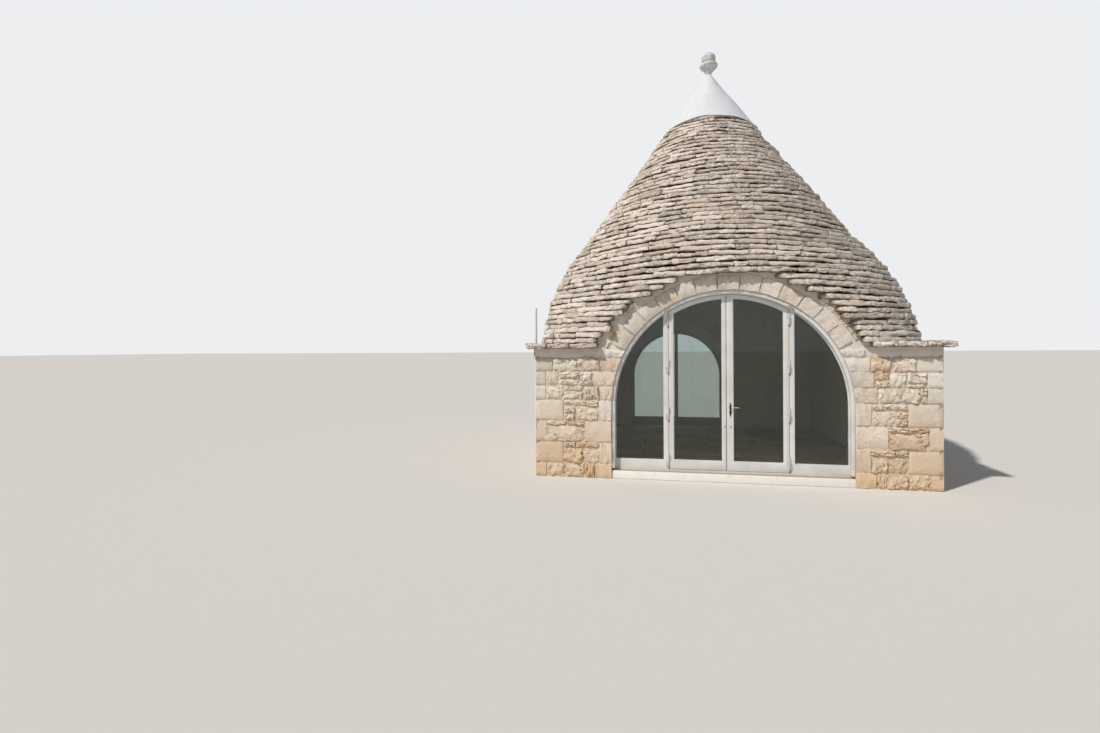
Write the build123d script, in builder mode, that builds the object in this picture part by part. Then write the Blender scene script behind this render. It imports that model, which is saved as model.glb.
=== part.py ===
from build123d import *
import math
import os

# A stone house of one square room under a cone of corbelled slabs, with a wide arched glass front.
# Millimetres. The front faces -Y, +Z is up, and the origin lies on the ground under the cone's axis.

# Room and walls
half_width = 2990        # cone's axis to the outer face of each wall
wall_thick = 450
wall_height = 2085       # ground to the underside of the eave slabs
floor_height = 130       # ground to the floor and to the top of the threshold
eave_thick = 80          # flat slabs that cap the walls
eave_overhang = 150

# Roof: straight-sided courses that start as a rounded square and end as a circle
roof_out = 130           # how far the lowest course stands out past the wall
roof_corner = 1260       # radius of that course's rounded corners
round_height = 4055      # height at which the courses have become circles
round_slope = 0.718      # run of the cone for each unit of rise
cone_tip = 7735          # height where the cone's sides would meet
belly = 2.7              # how late the courses start to lean in
shell = 570              # thickness of the roof, measured level
low_course = 100
low_courses = 12
high_course = 200
high_courses = 16
split_courses = 6        # courses of the upper roof under its one open bed joint
corner_chords = 8        # straight runs of stone in each quarter turn

# Arches: stone rings in the front and the rear wall
ring = 240               # depth of the arch stones, from the opening outwards
stone_joint = 0.5
cover = 50               # wall shown between the crown of the ring and the roof
shoulder = 200           # wall shown between the ring and the roof at the eave
head_thick = 650         # wall over an arch, which reaches in under the roof
front_x = 40             # the front arch stands a little to the right of the axis
front_radius = 1800
front_spring = 1175
front_stones = 19
rear_x = -620
rear_radius = 1130
rear_spring = 1375
rear_stones = 15

# Glazed frames
seat = 0.3               # clearance of a piece that is set into another
reveal = 100             # wall face to the face of the frame
band = 60                # width of the frame along the arch
frame_depth = 90
sill = 30
mullion = 70
half_doorway = 904       # middle of the doorway to each row of hinges
rail = 145               # foot rail of leaves and side lights
pane = 20

# Door leaves
leaf_thick = 60
leaf_gap = 6             # clearance of a leaf from its frame
meeting_gap = 9          # clearance of the two leaves from each other
stile = 76
leaf_head = 60
meeting_half = 83        # middle of the doorway to the glass of each leaf
meeting_shift = 20       # how far the leaves meet to the left of the middle
stop_lap = 12            # how far the frame's stop reaches behind a leaf
stop_thick = 20

# Hinges and handle
barrel_radius = 9
barrel_length = 95
pin_radius = 4.5
pin_play = 0.05
barrel_gap = 0.4
flap = 30                # leaf of the hinge, flat on the wood
flap_thick = 3
first_hinge = 295        # ground to the middle of the lowest hinge
hinge_step = 743
hinges = 4
handle_height = 1155
handle_inset = 45        # glass of the right leaf to the lever's spindle
handle_plate = (36, 8, 220)
handle_reach = 45        # face of the plate to the lever
lever_radius = 8
lever_length = 125
keyhole_drop = 75        # lever to the lock cylinder

# Cap, finial and pipe
cap_foot_radius = 850
tip_radius = 50
bowl_radius = 180
bowl_rim = 150
bowl_height = 210
bowl_edge = 70           # height of the bowl's rounded rim
neck_radius = 95
neck_height = 20
knob_radius = 134
knob_side = 90           # upright part of the knob, under its dome
dome_rise = 110
lamp = (70, 90, 120)     # small lamp under the left end of the eave
lamp_setback = 190
pipe_radius = 22
pipe_setback = 90        # front face of the wall to the pipe's axis
pipe_top = 2755

eave_top = wall_height + eave_thick
roof_mid = eave_top + low_course * low_courses
roof_top = roof_mid + high_course * high_courses
inner_half = half_width - wall_thick
eave_half = half_width + roof_out
eave_run = eave_half - roof_corner

FRONT = Plane.XZ.offset(half_width)      # local y is up; negative depths run into the house
REAR = Plane.XZ.offset(-half_width)

os.makedirs("parts", exist_ok=True)
nodes = []


def finish(part, name):
    """Labels one piece and writes it."""
    part.label = name
    nodes.append(part)
    export_step(part, f"parts/{name}.step")


def arched(cx, radius, spring, foot):
    """Face with upright sides and a half circle on top."""
    with BuildSketch() as face:
        with BuildLine():
            Polyline((cx - radius, spring), (cx - radius, foot), (cx + radius, foot), (cx + radius, spring))
            ThreePointArc((cx + radius, spring), (cx, spring + radius), (cx - radius, spring))
        make_face()
    return face.sketch


def arched_between(cx, radius, spring, foot, low_x, high_x):
    """The part of an arched face that lies between two uprights."""
    with BuildSketch() as face:
        add(arched(cx, radius, spring, foot))
        with Locations(((low_x + high_x) / 2, spring)):
            Rectangle(high_x - low_x, 4 * (radius + spring), mode=Mode.INTERSECT)
    return face.sketch


def cut_circle(radius, spring):
    """Radius and centre height of the circle that the roof is cut to round an arch."""
    top = spring + radius + ring + cover
    outer = math.sqrt((radius + ring) ** 2 - (eave_top - spring) ** 2)
    side = outer + shoulder
    centre = (top ** 2 - eave_top ** 2 - side ** 2) / (2 * (top - eave_top))
    return top - centre, centre


def wall_beside(face, into, cx, radius, spring, side):
    """Wall from a corner of the house to the stones of an arch."""
    with BuildPart() as wall:
        with BuildSketch(face):
            with Locations((side * half_width / 2, wall_height / 2)):
                Rectangle(half_width, wall_height)
            add(arched(cx, radius + ring + stone_joint, spring, 0), mode=Mode.SUBTRACT)
        extrude(amount=into * wall_thick)
    return wall.part


def wall_over(face, into, cx, radius, spring):
    """Crescent of wall between the stones of an arch and the roof."""
    cut_radius, cut_height = cut_circle(radius, spring)
    with BuildPart() as head:
        with BuildSketch(face):
            with Locations((cx, cut_height)):
                Circle(cut_radius - stone_joint)
            with Locations((cx, spring)):
                Circle(radius + ring + stone_joint, mode=Mode.SUBTRACT)
            with Locations((cx, wall_height - cut_radius)):
                Rectangle(3 * cut_radius, 2 * cut_radius, mode=Mode.SUBTRACT)
        extrude(amount=into * head_thick)
    return head.part


def arch_stones(face, into, cx, radius, spring, stones):
    """Wedge stones of an arch, from springing to springing."""
    with BuildPart() as arch:
        with BuildSketch(face):
            with Locations((cx, spring)):
                Circle(radius + ring)
                Circle(radius, mode=Mode.SUBTRACT)
            with Locations((cx, spring - radius)):
                Rectangle(3 * radius, 2 * (radius + stone_joint / 2), mode=Mode.SUBTRACT)
            with Locations((cx, spring)):
                with PolarLocations(radius + ring / 2, stones, start_angle=0, angular_range=180):
                    Rectangle(1.5 * ring, stone_joint, mode=Mode.SUBTRACT)
        extrude(amount=into * wall_thick)
    return arch.part


def jambs(face, into, cx, radius, spring):
    """Upright stones under the two ends of an arch, down to the ground."""
    with BuildPart() as posts:
        with BuildSketch(face):
            with Locations((cx, spring / 2)):
                with GridLocations(2 * radius + ring, 0, 2, 1):
                    Rectangle(ring, spring - stone_joint)
        extrude(amount=into * wall_thick)
    return posts.part


def roof_outline(z):
    """Half width of a course and half of its straight run, at a height."""
    if z >= round_height:
        return round_slope * (cone_tip - z), 0
    rise = (z - eave_top) / (round_height - eave_top)
    lean = eave_half - round_slope * (cone_tip - round_height)
    return eave_half - lean * rise ** belly, eave_run * (1 - rise)


def quarter(half, run, sx, sy):
    """Corners of a quarter of a rounded square, from the X side to the Y side."""
    points = [(half, 0)] if run > 0 else []
    for k in range(corner_chords + 1):
        turn = math.radians(90 * k / corner_chords)
        points.append((run + (half - run) * math.cos(turn), run + (half - run) * math.sin(turn)))
    if run > 0:
        points.append((0, half))
    return [(sx * x, sy * y) for x, y in points]


def roof_quarter(foot, height, count, sx, sy):
    """Stack of courses over one quarter of the house."""
    with BuildPart() as stack:
        for k in range(count):
            half, run = roof_outline(foot + (k + 0.5) * height)
            outer = quarter(half, run, sx, sy)
            inner = quarter(half - shell, run, sx, sy)
            with BuildSketch(Plane.XY.offset(foot + k * height)):
                with BuildLine():
                    Polyline(*outer, *reversed(inner), close=True)
                make_face()
            extrude(amount=height)
        if foot == roof_mid:
            with Locations((0, 0, roof_mid + split_courses * high_course)):
                Box(2 * eave_half, 2 * eave_half, stone_joint, mode=Mode.SUBTRACT)
        else:
            face = FRONT if sy < 0 else REAR
            cx, radius, spring = front_arch if sy < 0 else rear_arch
            cut_radius, cut_height = cut_circle(radius, spring)
            with BuildSketch(face):
                with Locations((cx, cut_height)):
                    Circle(cut_radius)
            extrude(amount=half_width / 2, both=True, mode=Mode.SUBTRACT)
    return stack.part


front_arch = (front_x, front_radius, front_spring)
rear_arch = (rear_x, rear_radius, rear_spring)

# Walls and arches
finish(wall_beside(FRONT, -1, *front_arch, -1), "front_wall_left")
finish(wall_beside(FRONT, -1, *front_arch, 1), "front_wall_right")
finish(wall_over(FRONT, -1, *front_arch), "front_wall_head")
finish(arch_stones(FRONT, -1, *front_arch, front_stones), "front_arch_stones")
finish(jambs(FRONT, -1, *front_arch), "front_jambs")
finish(wall_beside(REAR, 1, *rear_arch, -1), "rear_wall_left")
finish(wall_beside(REAR, 1, *rear_arch, 1), "rear_wall_right")
finish(wall_over(REAR, 1, *rear_arch), "rear_wall_head")
finish(arch_stones(REAR, 1, *rear_arch, rear_stones), "rear_arch_stones")
finish(jambs(REAR, 1, *rear_arch), "rear_jambs")

for side, name in ((-1, "left_wall"), (1, "right_wall")):
    with BuildPart() as wall:
        with Locations((side * (half_width - wall_thick / 2), 0, wall_height / 2)):
            Box(wall_thick, 2 * inner_half, wall_height)
    finish(wall.part, name)

# Flat slabs that cap the walls, broken where the arches rise through them
with BuildPart() as eave_sides:
    with Locations((0, 0, wall_height + eave_thick / 2)):
        with GridLocations(2 * half_width + eave_overhang - wall_thick, 0, 2, 1):
            Box(wall_thick + eave_overhang, 2 * inner_half, eave_thick)
finish(eave_sides.part, "eave_side_slabs")

for face, into, arch, sy, name in (
    (FRONT, -1, front_arch, -1, "eave_front_slabs"),
    (REAR, 1, rear_arch, 1, "eave_rear_slabs"),
):
    with BuildPart() as eave:
        with Locations((0, sy * (half_width + (eave_overhang - wall_thick) / 2), wall_height + eave_thick / 2)):
            Box(2 * (half_width + eave_overhang), wall_thick + eave_overhang, eave_thick)
        cut_radius, cut_height = cut_circle(arch[1], arch[2])
        with BuildSketch(face):
            with Locations((arch[0], cut_height)):
                Circle(cut_radius)
        extrude(amount=half_width / 2, both=True, mode=Mode.SUBTRACT)
        if sy < 0:
            with Locations(
                (-half_width - pipe_radius - seat, pipe_setback - half_width, wall_height + eave_thick / 2)
            ):
                Cylinder(pipe_radius + seat, 2 * eave_thick, mode=Mode.SUBTRACT)
    finish(eave.part, name)

# Roof
for sx, sy, place in ((-1, -1, "front_left"), (1, -1, "front_right"), (-1, 1, "rear_left"), (1, 1, "rear_right")):
    finish(roof_quarter(eave_top, low_course, low_courses, sx, sy), f"roof_lower_{place}")
    finish(roof_quarter(roof_mid, high_course, high_courses, sx, sy), f"roof_upper_{place}")

with BuildPart() as cap:
    with BuildSketch(Plane.XZ):
        with BuildLine():
            Polyline(
                (0, roof_top),
                (cap_foot_radius, roof_top),
                (tip_radius, cone_tip - tip_radius),
                (0, cone_tip - tip_radius),
                close=True,
            )
        make_face()
    revolve(axis=Axis.Z)
finish(cap.part, "roof_cap")

finial_foot = cone_tip - tip_radius
bowl_top = finial_foot + bowl_height
bowl_belly = bowl_top - bowl_edge
knob_foot = bowl_top + neck_height
knob_shoulder = knob_foot + knob_side
knob_top = knob_shoulder + dome_rise
dome_radius = (knob_radius ** 2 + dome_rise ** 2) / (2 * dome_rise)
dome_turn = math.asin(knob_radius / dome_radius) / 2
dome_middle = (dome_radius * math.sin(dome_turn), knob_top - dome_radius * (1 - math.cos(dome_turn)))
with BuildPart() as finial:
    with BuildSketch(Plane.XZ):
        with BuildLine():
            Polyline((0, knob_top), (0, finial_foot), (tip_radius, finial_foot), (bowl_radius, bowl_belly))
            Polyline((bowl_radius, bowl_belly), (bowl_rim, bowl_top), (neck_radius, bowl_top))
            Polyline((neck_radius, bowl_top), (neck_radius, knob_foot), (knob_radius, knob_foot))
            Line((knob_radius, knob_foot), (knob_radius, knob_shoulder))
            ThreePointArc((knob_radius, knob_shoulder), dome_middle, (0, knob_top))
        make_face()
    revolve(axis=Axis.Z)
finish(finial.part, "finial")

# Floor and threshold
with BuildPart() as floor:
    with Locations((0, 0, floor_height / 2)):
        Box(2 * (inner_half - seat), 2 * (inner_half - seat), floor_height)
finish(floor.part, "floor_slab")

for cx, radius, sy, name in ((front_x, front_radius, -1, "threshold"), (rear_x, rear_radius, 1, "rear_threshold")):
    with BuildPart() as step:
        with Locations((cx, sy * (half_width - wall_thick / 2), floor_height / 2)):
            Box(2 * (radius - seat), wall_thick, floor_height)
    finish(step.part, name)

# Front frame: arched band, two mullions, foot rails of the side lights and a stop behind the leaves
frame_outer = front_radius - seat
frame_inner = frame_outer - band
sill_top = floor_height + sill
light_foot = sill_top + rail
door_low = front_x - half_doorway
door_high = front_x + half_doorway
stop_front = half_width - reveal - leaf_thick - leaf_gap
with BuildPart() as front_frame:
    with BuildSketch(Plane.XZ.offset(half_width - reveal)):
        add(arched(front_x, frame_outer, front_spring, floor_height))
        add(arched_between(front_x, frame_inner, front_spring, sill_top, door_low, door_high), mode=Mode.SUBTRACT)
        add(
            arched_between(
                front_x, frame_inner, front_spring, light_foot, door_high + mullion, front_x + frame_outer
            ),
            mode=Mode.SUBTRACT,
        )
        add(
            arched_between(
                front_x, frame_inner, front_spring, light_foot, front_x - frame_outer, door_low - mullion
            ),
            mode=Mode.SUBTRACT,
        )
    extrude(amount=-frame_depth)
    with BuildSketch(Plane.XZ.offset(stop_front)):
        add(arched_between(front_x, frame_inner, front_spring, sill_top, door_low, door_high))
        add(
            arched_between(
                front_x,
                frame_inner - stop_lap - leaf_gap,
                front_spring,
                sill_top + stop_lap + leaf_gap,
                door_low + stop_lap + leaf_gap,
                door_high - stop_lap - leaf_gap,
            ),
            mode=Mode.SUBTRACT,
        )
    extrude(amount=-stop_thick)
finish(front_frame.part, "front_frame")

for name, low_x, high_x in (
    ("left_side_glass", front_x - frame_outer, door_low - mullion - seat),
    ("right_side_glass", door_high + mullion + seat, front_x + frame_outer),
):
    with BuildPart() as glass:
        with BuildSketch(Plane.XZ.offset(half_width - reveal - (leaf_thick - pane) / 2)):
            add(arched_between(front_x, frame_inner - seat, front_spring, light_foot + seat, low_x, high_x))
        extrude(amount=-pane)
    finish(glass.part, name)

# Door leaves, their glass and their hinges
leaf_outer = frame_inner - leaf_gap
leaf_foot = sill_top + leaf_gap
meeting_x = front_x - meeting_shift
hinge_y = -(half_width - reveal) - barrel_radius
for side, name in ((-1, "left"), (1, "right")):
    hinge_x = front_x + side * half_doorway
    edges = sorted((meeting_x + side * meeting_gap / 2, hinge_x - side * leaf_gap))
    lights = sorted((front_x + side * meeting_half, hinge_x - side * (leaf_gap + stile)))
    with BuildPart() as leaf:
        with BuildSketch(Plane.XZ.offset(half_width - reveal)):
            add(arched_between(front_x, leaf_outer, front_spring, leaf_foot, *edges))
            add(
                arched_between(front_x, leaf_outer - leaf_head, front_spring, leaf_foot + rail, *lights),
                mode=Mode.SUBTRACT,
            )
        extrude(amount=-leaf_thick)
    finish(leaf.part, f"{name}_leaf")

    with BuildPart() as glass:
        with BuildSketch(Plane.XZ.offset(half_width - reveal - (leaf_thick - pane) / 2)):
            add(
                arched_between(
                    front_x,
                    leaf_outer - leaf_head - seat,
                    front_spring,
                    leaf_foot + rail + seat,
                    lights[0] + seat,
                    lights[1] - seat,
                )
            )
        extrude(amount=-pane)
    finish(glass.part, f"{name}_leaf_glass")

    flap_y = hinge_y + barrel_radius - flap_thick / 2
    with BuildPart() as pins:
        for k in range(hinges):
            joint_z = first_hinge + k * hinge_step
            with Locations((hinge_x, hinge_y, joint_z - (barrel_length + barrel_gap) / 2)):
                Cylinder(barrel_radius, barrel_length)
            with Locations((hinge_x, hinge_y, joint_z + barrel_length / 2)):
                Cylinder(pin_radius, barrel_length)
            with Locations(
                (hinge_x + side * (barrel_radius + flap) / 2, flap_y, joint_z - (barrel_length + barrel_gap) / 2)
            ):
                Box(barrel_radius + flap, flap_thick, barrel_length)
    finish(pins.part, f"{name}_hinge_pins")

    with BuildPart() as knuckles:
        for k in range(hinges):
            joint_z = first_hinge + k * hinge_step
            with Locations((hinge_x, hinge_y, joint_z + (barrel_length + barrel_gap) / 2)):
                Cylinder(barrel_radius, barrel_length)
            with Locations(
                (hinge_x - side * (barrel_radius + flap) / 2, flap_y, joint_z + (barrel_length + barrel_gap) / 2)
            ):
                Box(barrel_radius + flap, flap_thick, barrel_length)
            with Locations((hinge_x, hinge_y, joint_z + (barrel_length + barrel_gap) / 2)):
                Cylinder(pin_radius + pin_play, barrel_length, mode=Mode.SUBTRACT)
    finish(knuckles.part, f"{name}_hinge_knuckles")

# Lever handle and lock on the right leaf's meeting stile
handle_x = front_x + meeting_half - handle_inset
leaf_face = -(half_width - reveal)
with BuildPart() as handle:
    with Locations((handle_x, leaf_face - handle_plate[1] / 2, handle_height - keyhole_drop / 2)):
        Box(*handle_plate)
    with BuildSketch(Plane.XZ.offset(-leaf_face)):
        with Locations((handle_x, handle_height)):
            Circle(lever_radius)
    extrude(amount=handle_plate[1] + handle_reach + lever_radius)
    with BuildSketch(Plane.YZ.offset(handle_x)):
        with Locations((leaf_face - handle_plate[1] - handle_reach, handle_height)):
            Circle(lever_radius)
    extrude(amount=lever_length)
    with BuildSketch(Plane.XZ.offset(-leaf_face)):
        with Locations((handle_x, handle_height - keyhole_drop)):
            Circle(lever_radius)
    extrude(amount=handle_plate[1] + lever_radius)
finish(handle.part, "door_handle")

# Rear frame: arched band with one mullion, and its glass
rear_outer = rear_radius - seat
rear_inner = rear_outer - band
with BuildPart() as rear_frame:
    with BuildSketch(Plane.XZ.offset(-(half_width - reveal))):
        add(arched(rear_x, rear_outer, rear_spring, floor_height))
        for side in (-1, 1):
            edges = sorted((rear_x + side * mullion / 2, rear_x + side * rear_outer))
            add(arched_between(rear_x, rear_inner, rear_spring, light_foot, *edges), mode=Mode.SUBTRACT)
    extrude(amount=leaf_thick)
finish(rear_frame.part, "rear_frame")

with BuildPart() as rear_glass:
    with BuildSketch(Plane.XZ.offset(-(half_width - reveal - (leaf_thick - pane) / 2))):
        for side in (-1, 1):
            edges = sorted((rear_x + side * (mullion / 2 + seat), rear_x + side * rear_outer))
            add(arched_between(rear_x, rear_inner - seat, rear_spring, light_foot + seat, *edges))
    extrude(amount=pane)
finish(rear_glass.part, "rear_glass")

# Small lamp that hangs from the left end of the eave, against the wall
with BuildPart() as eave_lamp:
    with Locations((-half_width - lamp[0] / 2, lamp_setback - half_width, wall_height - lamp[2] / 2)):
        Box(*lamp)
finish(eave_lamp.part, "eave_lamp")

# Pipe up the left front corner, through the eave slab
with BuildPart() as pipe:
    with Locations((-half_width - pipe_radius - seat, pipe_setback - half_width, pipe_top / 2)):
        Cylinder(pipe_radius, pipe_top)
finish(pipe.part, "corner_pipe")

print(len(nodes), "pieces")
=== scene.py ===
# %% [markdown]
# # A trullo house, dressed in Blender
# The house is a square stone room under a cone of dry-laid limestone slabs, with a wide arched glass front.
# The CAD model fixes every size and every moving piece. This lesson puts the stones, the paint, the metal and
# the glass on that frame, one piece at a time, and lights it plainly. It starts by loading the frame.

# %% Load the CAD frame
import math
import random

import bmesh
import bpy
import numpy as np
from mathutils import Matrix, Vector


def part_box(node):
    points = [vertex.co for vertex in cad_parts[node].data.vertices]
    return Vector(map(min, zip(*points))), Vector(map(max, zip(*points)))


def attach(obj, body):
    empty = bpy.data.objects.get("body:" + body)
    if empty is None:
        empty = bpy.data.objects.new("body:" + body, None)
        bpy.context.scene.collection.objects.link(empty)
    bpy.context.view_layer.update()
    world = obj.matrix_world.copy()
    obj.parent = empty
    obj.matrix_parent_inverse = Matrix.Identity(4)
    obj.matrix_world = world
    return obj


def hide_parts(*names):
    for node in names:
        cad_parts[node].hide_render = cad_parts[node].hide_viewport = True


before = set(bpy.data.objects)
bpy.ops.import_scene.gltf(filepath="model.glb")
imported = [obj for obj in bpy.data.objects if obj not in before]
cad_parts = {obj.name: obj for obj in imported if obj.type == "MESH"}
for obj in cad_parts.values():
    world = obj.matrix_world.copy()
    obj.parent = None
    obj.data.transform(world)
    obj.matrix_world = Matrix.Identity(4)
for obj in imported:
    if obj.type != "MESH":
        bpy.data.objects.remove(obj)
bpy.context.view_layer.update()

# %% [markdown]
# The sizes below are the ones that the CAD model was drawn from, in metres. The dressed stones have to follow
# the same walls, arches and roof line, so the same names are used here. The front faces -Y and up is +Z. An
# arch is given by its centre across the house, its radius and the height that it springs from.

# %% Sizes shared with the CAD model
half_width = 2.99
wall_thick = 0.45
wall_height = 2.085
floor_height = 0.13
eave_thick = 0.08
eave_top = wall_height + eave_thick
eave_overhang = 0.15
inner_half = half_width - wall_thick
eave_half = half_width + 0.13
eave_corner = 1.26
eave_run = eave_half - eave_corner
round_height = 4.055
round_slope = 0.718
cone_tip = 7.735
belly = 2.7
shell = 0.57
low_course, high_course = 0.1, 0.2
roof_top = eave_top + 12 * low_course + 16 * high_course
ring = 0.24
cut_over, cut_beside = 0.05, 0.2
front_arch = (0.04, 1.8, 1.175)
rear_arch = (-0.62, 1.13, 1.375)
hinge_x = {"left": -0.864, "right": 0.944}
hinge_y = -2.899
first_hinge, hinge_step, hinge_reach = 0.295, 0.743, 0.0954
print("roof from", round(eave_top, 2), "to", round(roof_top, 2), "m, walls to", wall_height, "m")

# %% [markdown]
# Every photograph has one camera. This one stood low, left of the house and about nine metres in front of it,
# with a wide lens held level. Its place was worked out from the lines of the stone courses, the arch and the
# wall corners, so the render lines up with the photograph. A small downward shift gives the same framing
# without tilting the camera, which keeps the walls upright.

# %% Camera
photo_width = 1100
focal_pixels = 565
horizon_above_middle = 18
camera_data = bpy.data.cameras.new("camera")
camera_data.sensor_width = 36
camera_data.lens = 36 * focal_pixels / photo_width
camera_data.shift_y = -horizon_above_middle / photo_width
camera_data.clip_end = 600
camera = bpy.data.objects.new("camera", camera_data)
camera.location = (-0.93, -12.051, 2.085)
camera.rotation_euler = (math.radians(90), math.radians(0.3), math.radians(11.4))
bpy.context.collection.objects.link(camera)
bpy.context.scene.camera = camera
bpy.context.scene.view_settings.view_transform = "Standard"
print("lens", round(camera_data.lens, 2), "mm")

# %% [markdown]
# Materials are written as nodes. A few small helpers keep that readable: one turns an ordinary sRGB hex colour
# into the linear numbers that the shader wants, one sets and joins a node's inputs, one adds a node, one starts
# a material and one finishes it. Everything else is said out loud in the cells of each finish.

# %% Helpers for materials


def linear(colour):
    """Linear colour with full alpha from an sRGB hex value."""
    parts = [int(colour[i:i + 2], 16) / 255 for i in (1, 3, 5)]
    return tuple(c / 12.92 if c <= 0.04045 else ((c + 0.055) / 1.055) ** 2.4 for c in parts) + (1.0,)


def wire(owner, node, inputs=None, links=None):
    """Sets some of a node's inputs and joins others to the outputs of earlier nodes."""
    for key, value in (inputs or {}).items():
        node.inputs[key].default_value = value
    for key, (source, output) in (links or {}).items():
        owner.node_tree.links.new(source.outputs[output], node.inputs[key])
    return node


def add_node(owner, kind, inputs=None, links=None, stops=(), **settings):
    """Adds a node with its options, its inputs and, on a colour ramp, its stops: pairs of place and hex colour."""
    node = owner.node_tree.nodes.new("ShaderNode" + kind)
    for key, value in settings.items():
        setattr(node, key, value)
    if stops:
        while len(node.color_ramp.elements) < len(stops):
            node.color_ramp.elements.new(0.5)
        for element, (place, colour) in zip(node.color_ramp.elements, stops):
            element.position = place
            element.color = linear(colour)
    return wire(owner, node, inputs, links)


def new_material(name):
    """New material, and the link that tells a pattern where on the object a point lies."""
    material = bpy.data.materials.new(name)
    material.use_nodes = True
    return material, {"Vector": (add_node(material, "TexCoord"), "Object")}


def finish(material, inputs, links):
    """Sets the Principled shader's own values and joins the pattern to it."""
    wire(material, material.node_tree.nodes["Principled BSDF"], inputs, links)
    return material


print("mid grey is", round(linear("#808080")[0], 3), "in linear light")

# %% [markdown]
# Limestone is the main material of the house. Each stone comes from its own bed, so each has its own tone; the
# weather then adds grey lichen, brown stains and small pits, and rain splashes earth up the foot of the walls.
# Painted shade darkens each stone's edges towards the joints and, on the roof slabs, colours the undersides ochre.
# The stones carry an attribute called stone_tone with three random numbers per stone, which picks its colour,
# its warmth and how much lichen it holds. Noise in real sizes does the rest: stains of a hand's breadth, grain
# of a few millimetres, pits of a finger's width. A photograph of stone could be laid on instead, but it would
# repeat, and it would turn at the corners.

# %% Limestone
splash_top, splash_full = 1.4, 0.05


def facing(material, start, full, share):
    """Mask of the faces that look up or down: none at one height of the normal, the whole share at another."""
    normal = add_node(material, "NewGeometry")
    normal = add_node(material, "SeparateXYZ", links={"Vector": (normal, "True Normal")})
    return add_node(material, "MapRange", {"From Min": start, "From Max": full, "To Max": share},
                    {"Value": (normal, "Z")})


def splashed(material, here, below, share):
    """Mixes in the warm earth that rain splashes up the foot of a wall, most of it at the ground."""
    axes = add_node(material, "SeparateXYZ", links=here)
    height = add_node(material, "MapRange", {"From Min": splash_top, "From Max": splash_full, "To Max": share},
                      {"Value": (axes, "Z")})
    return add_node(material, "Mix", {"B": linear("#DFB98C")}, {"Factor": (height, "Result"), "A": below},
                    data_type="RGBA")


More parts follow.
